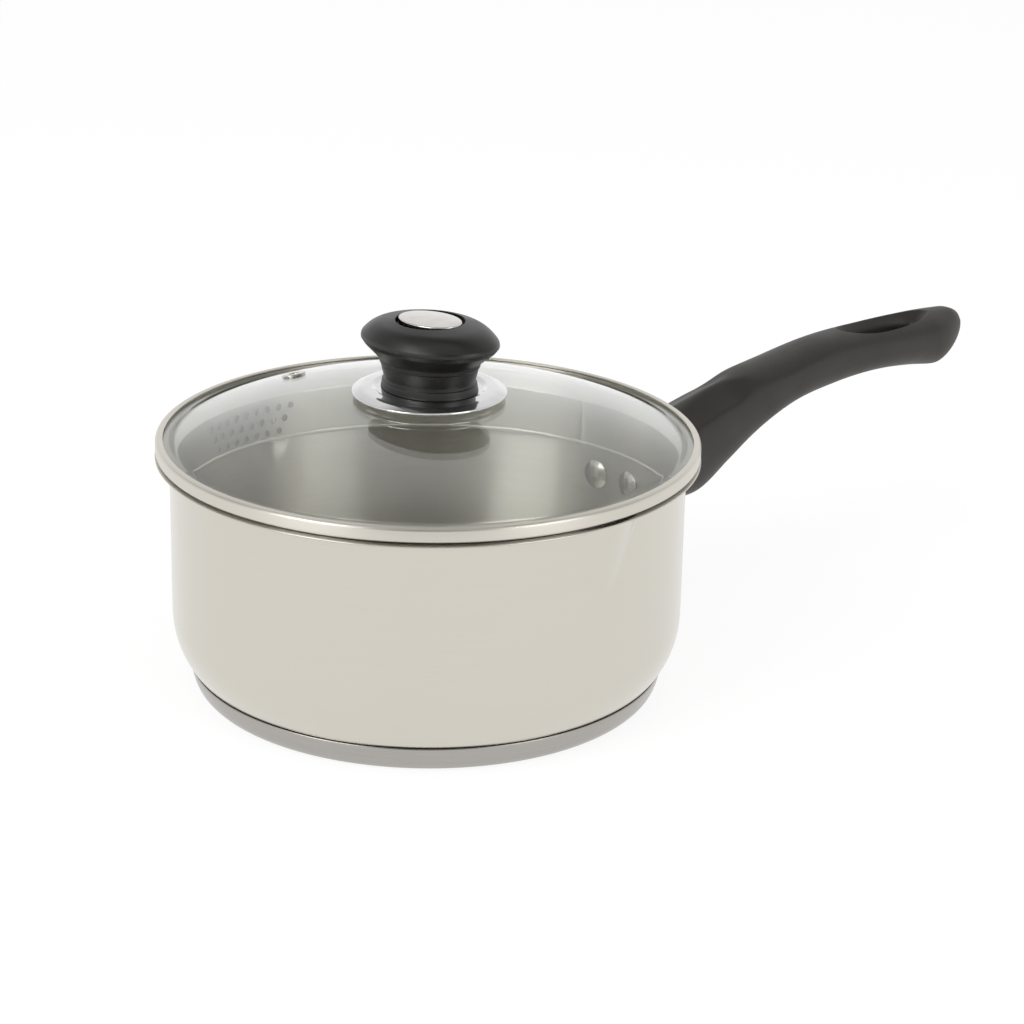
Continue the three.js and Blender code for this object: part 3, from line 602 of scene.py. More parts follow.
def steel_material(name, hex_colour, roughness, spread, lines, depth, anisotropic, waves=0.0):
    """Stainless steel: brush lines vary its roughness and tone and lift a fine bump, and soft waves in
    the sheet bend what it mirrors. Brushing round the axis spreads highlights up and down."""
    line_run, wave_size = 30 * MM, 28 * MM
    made, tree = new_material(name)
    factor = brush_lines(tree, lines, line_run)
    normal = bumped(tree, factor, depth)
    if waves:
        normal = bumped(tree, soft_clouds(tree, wave_size), waves, normal)
    inputs = {
        "Base Color": toned(tree, factor, hex_colour, 1 - spread, 1 + spread), "Metallic": 1.0,
        "Roughness": between(tree, factor, roughness - spread, roughness + spread), "Normal": normal,
    }
    if anisotropic:
        tangent = add_node(tree, "ShaderNodeTangent", {"direction_type": "RADIAL", "axis": "Z"})
        upright = 0.25
        inputs.update({
            "Anisotropic": anisotropic, "Anisotropic Rotation": upright, "Tangent": tangent.outputs[0],
        })
    give_surface(tree, "ShaderNodeBsdfPrincipled", inputs)
    return made


def metal_material(name, hex_colour, roughness, grain, depth):
    """A plain metal whose surface is lightly pitted: noise of the grain's size varies roughness and bump."""
    made, tree = new_material(name)
    factor = soft_clouds(tree, grain)
    give_surface(tree, "ShaderNodeBsdfPrincipled", {
        "Base Color": toned(tree, factor, hex_colour, 0.93, 1.03), "Metallic": 1.0,
        "Roughness": between(tree, factor, roughness * 0.8, roughness * 1.25),
        "Normal": bumped(tree, factor, depth),
    })
    return made


def phenolic_material(name, hex_colour, grain_size, roughness):
    """Compression-moulded black phenolic resin: a satin skin with a fine spark-eroded grain, which
    scatters the highlights into a soft sheen, and slow cloudy changes of gloss from handling."""
    made, tree = new_material(name)
    grain = soft_clouds(tree, grain_size, 0.55)
    worn, change = soft_clouds(tree, 12 * MM), 0.04
    give_surface(tree, "ShaderNodeBsdfPrincipled", {
        "Base Color": toned(tree, grain, hex_colour, 0.8, 1.25),
        "Roughness": between(tree, worn, roughness - change, roughness + change),
        "Normal": bumped(tree, grain, 0.03 * MM, strength=0.55),
    })
    return made


def glass_material(name):
    """Clear tempered soda-lime glass, pressed and fire-polished: it bends and mirrors light, and lets
    lamps shine through it so that the pan inside stays lit. A slow ripple of the pressing bends what is
    seen through it very slightly."""
    made, tree = new_material(name)
    glass = add_node(tree, "ShaderNodeBsdfPrincipled", None, {
        "Base Color": linear("#fbfdfc"), "Roughness": 0.0, "IOR": 1.5, "Transmission Weight": 1.0,
        "Normal": bumped(tree, soft_clouds(tree, 25 * MM), 0.02 * MM),
    })
    clear = add_node(tree, "ShaderNodeBsdfTransparent", None, {"Color": linear("#f4f7f6")})
    path = add_node(tree, "ShaderNodeLightPath")
    give_surface(tree, "ShaderNodeMixShader", {
        0: path.outputs["Is Shadow Ray"], 1: glass.outputs[0], 2: clear.outputs[0],
    })
    return made


def rubber_material(name, hex_colour):
    """Moulded silicone rubber: soft, slightly waxy and matt."""
    made, tree = new_material(name)
    factor = soft_clouds(tree, 2 * MM)
    give_surface(tree, "ShaderNodeBsdfPrincipled", {
        "Base Color": linear(hex_colour), "Roughness": between(tree, factor, 0.5, 0.65),
        "Subsurface Weight": 0.3, "Subsurface Radius": (2 * MM,) * 3,
        "Normal": bumped(tree, factor, 0.01 * MM),
    })
    return made


def finish(name):
    """A finish by name, made the first time that it is asked for. Steels have roughness, its spread,
    the spacing and depth of the brush lines, anisotropy and the depth of the waves. Other metals have
    roughness, size of grain and depth, and resins have size of grain and roughness."""
    colours = bpy.context.scene.saucepan_finishes
    spacing, grain = colours.brush_spacing, colours.grain
    finishes = {
        # deep-drawn 18/10 sheet, buffed outside: nearly a mirror, with soft waves left by the drawing
        "mirror_polished_steel": (steel_material, colours.steel, 0.2, 0.01, spacing, 0, 0, 0.2 * MM),
        # the same sheet brushed inside while it turned: fine lines round the wall, light spread upright
        "brushed_steel": (steel_material, colours.steel_inside, 0.38, 0.03, spacing, 0.001 * MM, 1.0),
        # the pressed base cap, ground on a lathe: more matt than the wall; its colour is darkened as painted
        # shade, for the shadowed floor that it mirrors
        "satin_base_steel_painted_shade": (steel_material, colours.steel_base_painted_shade, 0.3, 0.04, spacing, 0.003 * MM, 0.4),
        # rolled strip with a satin finish along its length
        "satin_band_steel": (steel_material, colours.steel_band, 0.38, 0.015, spacing, 0.0005 * MM, 0.8),
        # rivets and eyelet, tumbled with stones: evenly dull without a direction
        "tumbled_steel": (metal_material, colours.steel, 0.22, 3 * MM, 0.01 * MM),
        # stamped sheet, polished after stamping: softly blotchy gloss
        "polished_inlay": (metal_material, colours.inlay, 0.2, 5 * MM, 0.03 * MM),
        # bright nickel-chrome plating over polished steel: a clear mirror with faint ripples
        "chrome_plate": (metal_material, colours.chrome, 0.06, 9 * MM, 0.01 * MM),
        # bracket and fixings, dull from the bath
        "zinc_plated_steel": (metal_material, colours.zinc, 0.42, 0.8 * MM, 0.01 * MM),
        # the knob's threaded bush, as it comes off the lathe
        "turned_brass": (metal_material, colours.brass, 0.35, 0.5 * MM, 0.005 * MM),
        # the core under the bowl, with its casting skin
        "cast_aluminium": (metal_material, colours.aluminium, 0.5, 0.9 * MM, 0.02 * MM),
        # the handle, whose skin is a little duller from handling than the knob's
        "matt_phenolic": (phenolic_material, colours.phenolic_handle, grain, 0.5),
        # the knob: the same resin, its colour darkened as painted shade where the neck lies in shade
        "satin_phenolic_painted_shade": (phenolic_material, colours.phenolic_knob_painted_shade, grain, 0.38),
        "tempered_glass": (glass_material,),
        "silicone_rubber": (rubber_material, colours.silicone),
    }
    if name in bpy.data.materials:
        return bpy.data.materials[name]
    maker, *values = finishes[name]
    return maker(name, *values)


# ---------------------------------------------------------------- pan

def corner_radius(sizes, height):
    """Outside radius of the drawn corner: a power curve from the base seam up to the straight wall."""
    down = (sizes.corner_height - height) / (sizes.corner_height - sizes.seam_height)
    return wall_radius(sizes) - sizes.corner_inset * down**sizes.corner_power


def bowl_outside(sizes):
    """Section of the bowl's outside, from the middle of the floor to the rim: a flat floor, a tight
    bend, the curve of the corner, the straight wall, and the flare with its rounded edge."""
    floor, rim = bottom("pan_body"), top("pan_body") - sizes.wall
    seam = corner_radius(sizes, sizes.seam_height)
    lean = sizes.corner_power * sizes.corner_inset / (sizes.corner_height - sizes.seam_height)
    bend = seam - lean * (sizes.seam_height - floor)
    heights = np.linspace(sizes.seam_height, sizes.corner_height, 20)[1:]
    flare = (wall_radius(sizes) + sizes.rim_bend, rim - sizes.rim_bend)
    path = np.concatenate([
        [[POLE_RING, floor]],
        bezier((bend - sizes.floor_corner, floor), (bend, floor), (seam, sizes.seam_height), 10),
        np.stack([corner_radius(sizes, heights), heights], -1),
        quarter(flare, sizes.rim_bend, 180, 90, 10),
        [[reach("pan_body") - sizes.wall / 2, rim]],
    ])
    longest_leg = 2.2 * MM
    return dense(path, longest_leg)


def spout_push(sizes, angle, height):
    """How far the spouts push the wall out. Going up, a spout widens from a rounded point, along
    straight flanks, and deepens evenly. Across it is a rounded V: a hyperbola over the share of the
    half width, flat in the middle and straight at the flanks, which meets the wall in a soft crease."""
    flank_run, tip_width, narrowest = 1.25, 0.95, 1e-6
    rise = height - top("pan_body") + sizes.spout_drop
    rise = np.clip(rise / (sizes.spout_drop - sizes.rim_bend), 0, 1)
    up = rise * sizes.spout_drop
    flank = sizes.spout_half_width * (up - sizes.spout_drop) / (flank_run * sizes.spout_drop)
    width = np.minimum(sizes.spout_half_width + flank, np.sqrt(2 * sizes.spout_tip * up) * tip_width)
    from_middle = wall_radius(sizes) * np.arccos(np.clip(np.abs(np.sin(angle)), 0, 1))
    across = from_middle / np.maximum(width, narrowest)
    bend = sizes.spout_bend
    edge = math.hypot(1, bend)
    hollow = sizes.spout_depth * rise * (edge - np.hypot(across, bend)) / (edge - bend)
    return (hollow + np.sqrt(hollow**2 + (sizes.spout_crease * rise) ** 2)) / 2


def bowl_angles(sizes):
    """Angles round the bowl, about four times as close across the spouts as elsewhere."""
    half = 1.3 * sizes.spout_half_width / reach("pan_body")
    over_spout, past_spout = 64, 110
    side = np.concatenate([
        np.linspace(-half, half, over_spout, endpoint=False),
        np.linspace(half, np.pi - half, past_spout, endpoint=False),
    ])
    return np.concatenate([side, side + np.pi]) + np.pi / 2


def build_bowl(sizes):
    """The section turned round the axis, outside, rounded rim and inside in one skin, whose radius grows
    by the spouts' push: in full on the wall, and fading to nothing across the rim. Rows up to the middle
    of the rim are polished, and those after it brushed."""
    outside = bowl_outside(sizes)
    inside = beside(outside, sizes.wall)[::-1]
    rim_edge = quarter(outside[-1] + (0, sizes.wall / 2), sizes.wall / 2, -60, 60, 4)
    profile = np.concatenate([outside, rim_edge, inside])
    angles = bowl_angles(sizes)
    radius, height = profile[:, :1], profile[:, 1:]
    on_wall = 1 - np.clip((radius - wall_radius(sizes)) / sizes.rim_overhang, 0, 1)
    pushed = radius + spout_push(sizes, angles[None], height) * on_wall
    grid = turned(profile, angles)
    grid[..., :2] *= (pushed / radius)[..., None]
    shell = capped_shell(grid, [0, 0, outside[0, 1]], [0, 0, inside[-1, 1]])
    columns = len(angles)
    brushed_rows = np.arange(len(profile) - 1) >= len(outside) + len(rim_edge) // 2
    fans = np.repeat([False, True], columns)
    skins = np.concatenate([np.repeat(brushed_rows, columns), fans])
    steels = [finish("mirror_polished_steel"), finish("brushed_steel")]
    piece = make_piece("pan_bowl", shell, steels, material_rows=skins)
    settle(piece, "pan", "polished_steel", "pan_body")


def build_base_cap(sizes):
    """A shallow dish turned from its section: foot, bend, and a side that leans out to a rounded edge,
    which turns in against the bowl."""
    seam, high = sizes.seam_height, top("base_cap")
    outer = corner_radius(sizes, seam) + sizes.cap_lip
    foot, bend = sizes.foot_radius, sizes.foot_bend
    tucked = 0.1 * MM
    edge = (seam - high) / 2 + tucked
    knee = (foot + bend, 0.45 * bend)
    outside = np.concatenate([
        [[POLE_RING, 0]],
        bezier((foot, 0), (foot + 0.7 * bend, 0), knee, 12),
        bezier(knee, (foot + 1.5 * bend, 0.8 * bend), (outer, high - edge), 8)[1:],
        quarter((outer - edge, high), edge, 0, 90, 5),
        [[corner_radius(sizes, high) - tucked, high - tucked]],
    ])
    longest_leg = 3 * MM
    outside = dense(outside, longest_leg)
    inside = beside(outside, sizes.cap_thickness)[::-1]
    inside = inside[inside[:, 1] < high - edge]
    grid = turned(np.concatenate([outside, inside]), whole_turn(360))
    shell = capped_shell(grid, [0, 0, 0], [0, 0, sizes.cap_thickness])
    # the dish's steel is darkened as painted shade
    piece = make_piece("base_dish", shell, [finish("satin_base_steel_painted_shade")])
    settle(piece, "pan", "polished_steel", "base_cap")


def build_rivet(sizes, node):
    """A domed head, a part of a sphere with a rounded edge, and its shank, turned about their own axis
    and laid radially at the node's place."""
    low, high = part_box(node)
    centre = middle(node)
    head = (high.z - low.z) / 2
    seat = math.sqrt((wall_radius(sizes) - sizes.wall) ** 2 - head**2)
    dome, edge, shank, axis_ring = 1.9 * MM, sizes.rivet_edge, 2.4 * MM, 0.05 * MM
    bulge = (head**2 + (dome - edge) ** 2) / (2 * (dome - edge))
    half = math.degrees(math.asin(head / bulge))
    down, off_axis = 270, 0.5
    crown = quarter((0, seat - dome + bulge), bulge, down + off_axis, down + half, 10)
    tail = reach(node)
    profile = np.concatenate([crown, rounded([
        (head, seat - edge * 0.6, 0.15 * MM), (head, seat, 0), (shank, seat, 0),
        (shank, tail, 0), (axis_ring, tail, 0),
    ], 3)])
    points, faces = capped_shell(turned(profile, whole_turn(72)), [0, 0, crown[0, 1]], [0, 0, tail])
    laid = np.stack([points[:, 2], points[:, 1], -points[:, 0]], -1)
    placed = about_axis(laid, math.atan2(centre.y, centre.x)) + (0, 0, centre.z)
    piece = make_piece(f"{node}_domed", (placed, faces), [finish("tumbled_steel")])
    settle(piece, "pan", "satin_steel", node)


# ---------------------------------------------------------------- handle

# Outline of the handle: (share of its length, height above the rivets over its depth at the root).
HANDLE_TOP = [
    (0, 0.64), (0.12, 0.62), (0.26, 0.765), (0.41, 0.867), (0.57, 0.979), (0.73, 1.003), (0.9, 0.982),
    (1, 0.968),
]
HANDLE_UNDER = [
    (0, -0.354), (0.1, -0.343), (0.184, -0.343), (0.26, -0.129), (0.357, 0.163), (0.44, 0.335),
    (0.57, 0.441), (0.73, 0.467), (0.82, 0.418), (0.9, 0.353), (1, 0.366),
]
# Half widths over the width: of the widest line, and of the crease between top and side.
HANDLE_SIDE = [(0, 0.64), (0.1, 0.6), (0.25, 0.53), (0.45, 0.47), (0.6, 0.45), (0.75, 0.48), (0.9, 0.5)]
HANDLE_CREASE = [(0, 0.5), (0.3, 0.44), (0.5, 0.4), (0.7, 0.37)]
# How far the crease lies below the crest over the depth, deeper along the thumb scoops; how far the
# crowned top alone would fall; and how square the sides are.
CREASE_DROP = [(0, 0.165), (0.25, 0.175), (0.31, 0.16), (0.38, 0.09), (0.6, 0.079), (1, 0.084)]
CROWN_DROP = [(0, 0.1), (0.38, 0.09), (0.6, 0.079), (1, 0.084)]
SIDE_POWER = [(0.1, 3.0), (0.3, 2.4)]
# How crest, keel and sides close towards the tip: (length over the width, power of the curve).
TIP_TOP = (0.314, 1.64)
TIP_UNDER = (0.779, 1.35)
TIP_SIDE = (0.9, 1.69)


def handle_frame():
    """Where the handle's root and tip lie, and the height of the rivets."""
    clear_of_wall = 0.3 * MM
    root = wall_radius(bpy.context.scene.saucepan_pan) + clear_of_wall
    return root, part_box("handle_grip")[1].x, middle("rivet_left").z


def closing(width, from_tip, shape):
    """Size left where a form closes towards its tip, as a superellipse of a length and a power. It ends
    in a narrow ring that a fan closes."""
    run, power = shape
    last_ring = 0.004
    part = np.clip(1 - from_tip / (run * width), 0, 1)
    return np.maximum((1 - part**power) ** (1 / power), last_ring)


def handle_top_face(sizes, share_along, across, crest):
    """Height of the handle's top face: a crowned strip, cut on both flanks by the thumb scoops. Crown and
    scoop fall from the crest by a power of the share across; the scoop is a parabola hollower, and rises
    out of the crown past its end, so that its edge curves up and round there."""
    crown_power, scoop_power, rise_power = 2.2, 1.05, 2.5
    rise_height, rise_run = 0.14, 0.1
    part = np.abs(across) / (sizes.width * smooth_value(HANDLE_CREASE, share_along))
    crown = crest - sizes.depth * smooth_value(CROWN_DROP, share_along) * part**crown_power
    hollow = sizes.scoop_depth * 4 * part * (1 - part)
    past = np.clip((share_along - sizes.scoop_end) / rise_run + 1, 0, None)
    scoop = crest - sizes.depth * smooth_value(CREASE_DROP, share_along) * part**scoop_power - hollow
    return smooth_low(crown, scoop + sizes.depth * rise_height * past**rise_power, sizes.crease)


def handle_surface(sizes):
    """The handle as a grid of sections. A section is a superellipse between keel and shoulders, whose
    upper part is cut down to the top face with a soft crease. Near the tip crest, keel and sides close
    on the nose, each over its own length; at the root the sections follow the pan's wall. Sections stand
    evenly along the straight part and crowd together, as a sine, towards the tip."""
    root, tip, mount = handle_frame()
    whole, closing_run = tip - root, TIP_SIDE[0] * sizes.width
    straight, almost_tip = whole - closing_run, 0.9997
    run = np.concatenate([
        np.linspace(0, straight, 190, endpoint=False),
        straight + closing_run * np.sin(np.linspace(0, almost_tip, 64) * np.pi / 2),
    ])[:, None]
    share_along, from_tip = run / whole, whole - run
    around = whole_turn(256)[None]
    crest = mount + sizes.depth * smooth_value(HANDLE_TOP, share_along)
    keel = mount + sizes.depth * smooth_value(HANDLE_UNDER, share_along)
    side = sizes.width * smooth_value(HANDLE_SIDE, share_along)
    crease = sizes.width * smooth_value(HANDLE_CREASE, share_along)
    drop = sizes.depth * smooth_value(CREASE_DROP, share_along)
    power = smooth_value(SIDE_POWER, share_along)
    waist = (crest + keel) / 2
    shoulder = (crest - drop - waist) / (1 - (crease / side) ** power) ** (1 / power)
    cosine, sine = np.cos(around), np.sin(around)
    across = side * np.sign(cosine) * np.abs(cosine) ** (2 / power)
    lift = np.abs(sine) ** (2 / power)
    face = handle_top_face(sizes, share_along, across, crest)
    height = np.where(
        sine > 0, smooth_low(waist + shoulder * lift, face, sizes.crease), waist - (waist - keel) * lift,
    )
    nose = keel + sizes.nose * (crest - keel)
    over = closing(sizes.width, from_tip, TIP_TOP)
    below = closing(sizes.width, from_tip, TIP_UNDER)
    height = nose + (height - nose) * np.where(height > nose, over, below)
    across = across * closing(sizes.width, from_tip, TIP_SIDE)
    wall_edge = np.sqrt(root**2 - across**2) - root
    hug_run = 12 * MM
    hug = wall_edge * np.clip(1 - run / hug_run, 0, 1)
    grid = np.stack([root + run + hug, across, height], -1)
    return capped_shell(grid, [root, 0, waist[0, 0]], [tip, 0, nose[-1, 0]])


def slot_cutter(sizes):
    """What the hanging slot takes away: an oval carried down through the handle, whose mouth opens out
    along a power curve, more at the ends than at the sides, and meets the top face in a rounded lip.
    Its last three rings rise a little above that face, and then clear of it."""
    root, tip, mount = handle_frame()
    centre = tip - sizes.slot_from_tip - sizes.slot_length / 2
    angle = whole_turn(120)
    opened, mouth_power = np.linspace(0, 1, 14), 1.7
    lip_spread, lip_sunk = [1.12, 1.3, 1.4], [-0.05, -0.08, -2]
    spread = sizes.slot_opening * np.append(opened**mouth_power, lip_spread)[:, None]
    sunk = sizes.slot_opening * np.append(2 * (1 - opened), lip_sunk)[:, None]
    ends = sizes.slot_end_spread + sizes.slot_end_skew * np.cos(angle)
    x = centre + (sizes.slot_length / 2 + ends * spread) * np.cos(angle)
    across = (sizes.slot_width / 2 + spread) * np.sin(angle)
    share_along = (x - root) / (tip - root)
    crest = mount + sizes.depth * smooth_value(HANDLE_TOP, share_along)
    height = handle_top_face(sizes, share_along, across, crest) - sunk
    sections = np.stack([x, across, height], -1)
    lowest = sections[:1] * (1, 1, 0) + (0, 0, mount)
    sections = np.concatenate([lowest, sections])
    return capped_shell(sections, [centre, 0, mount], [centre, 0, sections[-1, :, 2].mean()])


def build_handle(sizes):
    """The moulded form with the hanging slot cut out of it."""
    resin, crease = [finish("matt_phenolic")], 55
    piece = make_piece("handle_moulding", handle_surface(sizes), resin, crease)
    cutter = make_piece("slot_cutter", slot_cutter(sizes), resin, crease)
    cut = piece.modifiers.new("hanging_slot", "BOOLEAN")
    cut.operation, cut.solver, cut.object = "DIFFERENCE", "EXACT", cutter
    with bpy.context.temp_override(object=piece, active_object=piece, selected_objects=[piece]):
        bpy.ops.object.modifier_apply(modifier=cut.name)
    bpy.data.objects.remove(cutter)
    settle(piece, "pan", "phenolic", "handle_grip")


# ---------------------------------------------------------------- lid

# Rows of the band's grid to a row of straining holes, and columns to a hole.
HOLE_ROWS = 12
HOLE_COLUMNS = 16


def glass_drop(sizes, radius):
    """How far the glass has fallen at a radius: its slope grows evenly from the flat middle, then levels
    off over the last few millimetres before the flat rim. The slope is summed up along the radius."""
    rise = top("lid_glass") - glass_rim_top()
    edge, level = reach("lid_glass") - sizes.glass_rim_width, 1.2 * MM
    fine = np.linspace(0, reach("lid_glass"), 2000)
    slope = np.clip((fine - sizes.glass_seat) / (edge - sizes.glass_seat), 0, None)
    slope *= 1 - smooth_step((fine - edge + level) / (2 * level))
    fallen = np.cumsum(slope)
    return rise * np.interp(radius, fine, fallen / fallen[-1])


def glass_rim_top():
    """Height of the glass's rim, just under the band's lip."""
    under_lip = 0.3 * MM
    return top("strainer_band") - bpy.context.scene.saucepan_lid.band_thickness - under_lip


def vent_place():
    """Distance of the vent from the lid's axis, from its node."""
    vent = middle("steam_vent")
    return math.hypot(vent.x, vent.y)


def build_glass(sizes):
    """A dished pane: its upper face turned from the fall of the glass, its lower face set in by the
    thickness, and a round hole where the vent passes through. Rows and columns lie close round the
    vent, where the hole is a block of cells whose edge is drawn onto a circle."""
    edge, vent, step = reach("lid_glass"), vent_place(), 0.5 * MM
    close_steps, block = 12, 6 * step
    near = vent + np.arange(-close_steps, close_steps + 1) * step
    radii = np.concatenate([
        np.linspace(sizes.glass_hole, near[0], 40, endpoint=False), near,
        np.linspace(near[-1], edge - step, 22)[1:],
    ])
    upper = np.stack([radii, top("lid_glass") - glass_drop(sizes, radii)], -1)
    lower = beside(upper, -sizes.glass_thickness)
    lower[:, 0] = radii
    rim = [(edge, upper[-1, 1] - step), (edge, lower[-1, 1] + step)]
    profile = np.concatenate([upper, rim, lower[::-1]])
    half = close_steps * step / vent
    angles = np.pi / 2 + np.concatenate([
        np.arange(-close_steps, close_steps) * step / vent,
        np.linspace(half, FULL_TURN - half, 270, endpoint=False),
    ])
    away = (angles + np.pi / 2) % FULL_TURN - np.pi
    radius = np.repeat(profile[:, :1], len(angles), 1)
    hole_radius = sizes.vent_tube_radius + 0.25 * MM
    across, along, blocks = round_gaps(
        vent * away[None] + 0 * radius, radius, 0.0, vent, (block, block), hole_radius,
    )
    count = len(radii)
    height = np.repeat(profile[:, 1:], len(angles), 1)
    height[:count] = top("lid_glass") - glass_drop(sizes, along[:count])
    thickness = (upper[:, 1] - lower[:, 1])[::-1, None]
    height[-count:] = top("lid_glass") - glass_drop(sizes, along[-count:]) - thickness
    grid = round_axis(along, np.pi / 2 + across / vent, height)
    removed = inside_cells(blocks)
    removed[count - 1:] = False
    partner = len(profile) - 1 - np.arange(len(profile))
    shell = pierced_shell(about_axis(grid, lid_turn()), partner, removed)
    piece = make_piece("glass_pane", shell, [finish("tempered_glass")], crease=50)
    settle(piece, "lid", "clear_glass", "lid_glass")


def shoulder_touch(sizes, pan):
    """A point on the band's 45 degree shoulder, clear of the pan's flared rim."""
    bend = pan.rim_bend + pan.wall + sizes.rim_clearance
    slant = bend * math.sqrt(0.5)
    return wall_radius(pan) + pan.rim_bend - slant, top("pan_body") - pan.rim_bend - pan.wall + slant


def band_profile(sizes, pan):
    """Section of the band, as a closed outline. Down the outside: lip over the glass, rounded rim,
    slanting shoulder, skirt and folded hem; then up the inside, a strip's thickness away. Also returns
    the first rows of the two skins' straining zones and how many rows each has."""
    high, low = top("strainer_band"), bottom("strainer_band")
    outer, lip = reach("strainer_band"), reach("strainer_band") - sizes.band_lip
    rim_low = high - sizes.band_height
    touch = shoulder_touch(sizes, pan)
    shoulder = touch[0] + rim_low - touch[1]
    skirt, inner = sizes.skirt_radius, sizes.skirt_radius - sizes.band_thickness
    skirt_top = rim_low - (shoulder - skirt)
    zone = straining_heights(sizes)
    above_zone = zone[0] + 0.2 * MM
    corner, sheet = sizes.band_corner, sizes.band_thickness
    hem, fold, hem_bend = sizes.hem_width, low + sizes.hem_height, 0.5 * MM
    fold_edge = low + sizes.hem_height * 0.75
    set_in = sheet * 0.4
    down = rounded([
        (lip, high, 0), (outer, high, corner), (outer, rim_low, corner), (shoulder, rim_low, 0.8 * MM),
        (skirt, skirt_top, 1.2 * MM), (skirt, above_zone, 0),
    ], 8)[:-1]
    down_zone = np.stack([np.full(len(zone), skirt), zone], -1)
    around_hem = rounded([
        (skirt, fold, 0.3 * MM), (skirt + hem, fold_edge, hem_bend), (skirt + hem, low, hem_bend),
        (inner - hem, low, hem_bend), (inner - hem, fold_edge, hem_bend), (inner, fold, 0.3 * MM),
    ], 5)
    up_zone = np.stack([np.full(len(zone), inner), zone[::-1]], -1)
    up = rounded([
        (inner, above_zone, 0), (inner, skirt_top - set_in, 0.8 * MM),
        (shoulder - set_in, rim_low + sheet, 0.5 * MM), (outer - sheet, rim_low + sheet, corner - sheet),
        (outer - sheet, high - sheet, corner - sheet), (lip, high - sheet, 0),
    ], 6)[1:]
    first, last = len(down), len(down) + len(zone) + len(around_hem)
    return np.concatenate([down, down_zone, around_hem, up_zone, up]), first, last, len(zone)


def straining_heights(sizes):
    """Heights of the grid's rows over the straining holes, going down from half a row above them."""
    start = top("pan_body") - sizes.hole_top_drop + sizes.hole_row_spacing / 2
    return start - np.arange(HOLE_ROWS * sizes.hole_rows + 1) * sizes.hole_row_spacing / HOLE_ROWS


def band_angles(sizes):
    """Angles round the band: close over the straining holes and at the weld, else wide."""
    step = sizes.hole_pitch / HOLE_COLUMNS / sizes.skirt_radius
    half_steps = HOLE_COLUMNS // 2 * (sizes.hole_top_row + 1)
    fine, half = np.arange(-half_steps, half_steps) * step, half_steps * step
    side = np.concatenate([fine, np.linspace(half, np.pi - half, 96, endpoint=False)]) + np.pi / 2
    angles = np.concatenate([side, side + np.pi]) % FULL_TURN
    weld = sizes.weld_width / sizes.skirt_radius
    clear = np.abs((angles + np.pi) % FULL_TURN - np.pi) > 2 * weld
    return np.sort(np.concatenate([angles[clear], np.linspace(-weld, weld, 5) % FULL_TURN]))


def nearest_hole(sizes, across, along):
    """Centre of the straining hole nearest to each place on the skirt, in staggered rows."""
    high = top("pan_body") - sizes.hole_top_drop
    row = np.clip(np.rint((high - along) / sizes.hole_row_spacing), 0, sizes.hole_rows - 1)
    half_row = (sizes.hole_top_row - row - 1) / 2
    hole = np.clip(np.rint(across / sizes.hole_pitch + half_row), 0, 2 * half_row)
    return (hole - half_row) * sizes.hole_pitch, high - row * sizes.hole_row_spacing


def build_band(sizes, pan):
    """The strip carried round the axis, with its straining holes left open and a butt weld in the skirt.
    A hole is a block of six cells each way, whose edge is drawn onto a circle. The weld is a groove that
    falls evenly to its middle."""
    profile, first, last, count = band_profile(sizes, pan)
    angles = band_angles(sizes)
    radius = np.repeat(profile[:, :1], len(angles), 1)
    height = np.repeat(profile[:, 1:], len(angles), 1)
    turn = np.repeat(angles[None], len(profile), 0)
    spout_side = np.where(np.sin(turn) > 0, np.pi / 2, 1.5 * np.pi)
    across = sizes.skirt_radius * (turn - spout_side)
    centre_across, centre_along = nearest_hole(sizes, across, height)
    half_block = 3
    half = half_block * sizes.hole_pitch / HOLE_COLUMNS, half_block * sizes.hole_row_spacing / HOLE_ROWS
    moved, raised, blocks = round_gaps(across, height, centre_across, centre_along, half, sizes.hole_radius)
    rows = np.zeros((len(profile), 1), bool)
    rows[first:first + count] = rows[last:last + count] = True
    turn = np.where(rows, spout_side + moved / sizes.skirt_radius, turn)
    height = np.where(rows, raised, height)
    wide = np.abs((angles + np.pi) % FULL_TURN - np.pi) * sizes.skirt_radius
    weld = sizes.weld_depth * np.clip(1 - wide / (0.75 * sizes.weld_width), 0, 1)
    past_hem = sizes.skirt_radius + sizes.hem_width + 0.1 * MM
    grid = round_axis(radius - weld * (radius < past_hem), turn, height)
    removed = inside_cells(blocks) & rows
    removed[:first] = removed[first + count - 1:] = False
    partner = np.arange(len(profile))
    partner[first:first + count] = np.arange(last + count - 1, last - 1, -1)
    shell = pierced_shell(about_axis(grid, lid_turn()), partner, removed)
    piece = make_piece("straining_band", shell, [finish("satin_band_steel")], crease=40)
    settle(piece, "lid", "satin_steel", "strainer_band")


def build_vent(sizes):
    """An eyelet turned from its section, with rolled flanges, leaning with the glass."""
    place, step, clearance = vent_place(), 0.5 * MM, 0.15 * MM
    fall = glass_drop(sizes, np.array([place - step, place, place + step]))
    lean = math.atan2(fall[2] - fall[0], 2 * step)
    flange, tube, bore = sizes.vent_flange_radius, sizes.vent_tube_radius, sizes.vent_bore_radius
    sheet = sizes.vent_flange_thickness
    upper, lower = clearance, -sizes.glass_thickness - clearance
    profile = rounded([
        (bore, upper + sheet, 0.5 * MM), (flange, upper + sheet, 0.35 * MM), (flange, upper, 0.1 * MM),
        (tube, upper, 0), (tube, lower, 0), (flange, lower, 0.1 * MM),
        (flange, lower - sheet, 0.35 * MM), (bore, lower - sheet, 0.5 * MM),
    ], 5)
    points, faces = ring_shell(turned(profile, whole_turn(72)))
    x, y, z = points.T
    leaning = np.stack([
        x, place + y * math.cos(lean) + z * math.sin(lean),
        top("lid_glass") - fall[1] - y * math.sin(lean) + z * math.cos(lean),
    ], -1)
    shell = about_axis(leaning, lid_turn()), faces
    piece = make_piece("vent_eyelet", shell, [finish("tumbled_steel")])
    settle(piece, "lid", "satin_steel", "steam_vent")


# ---------------------------------------------------------------- knob

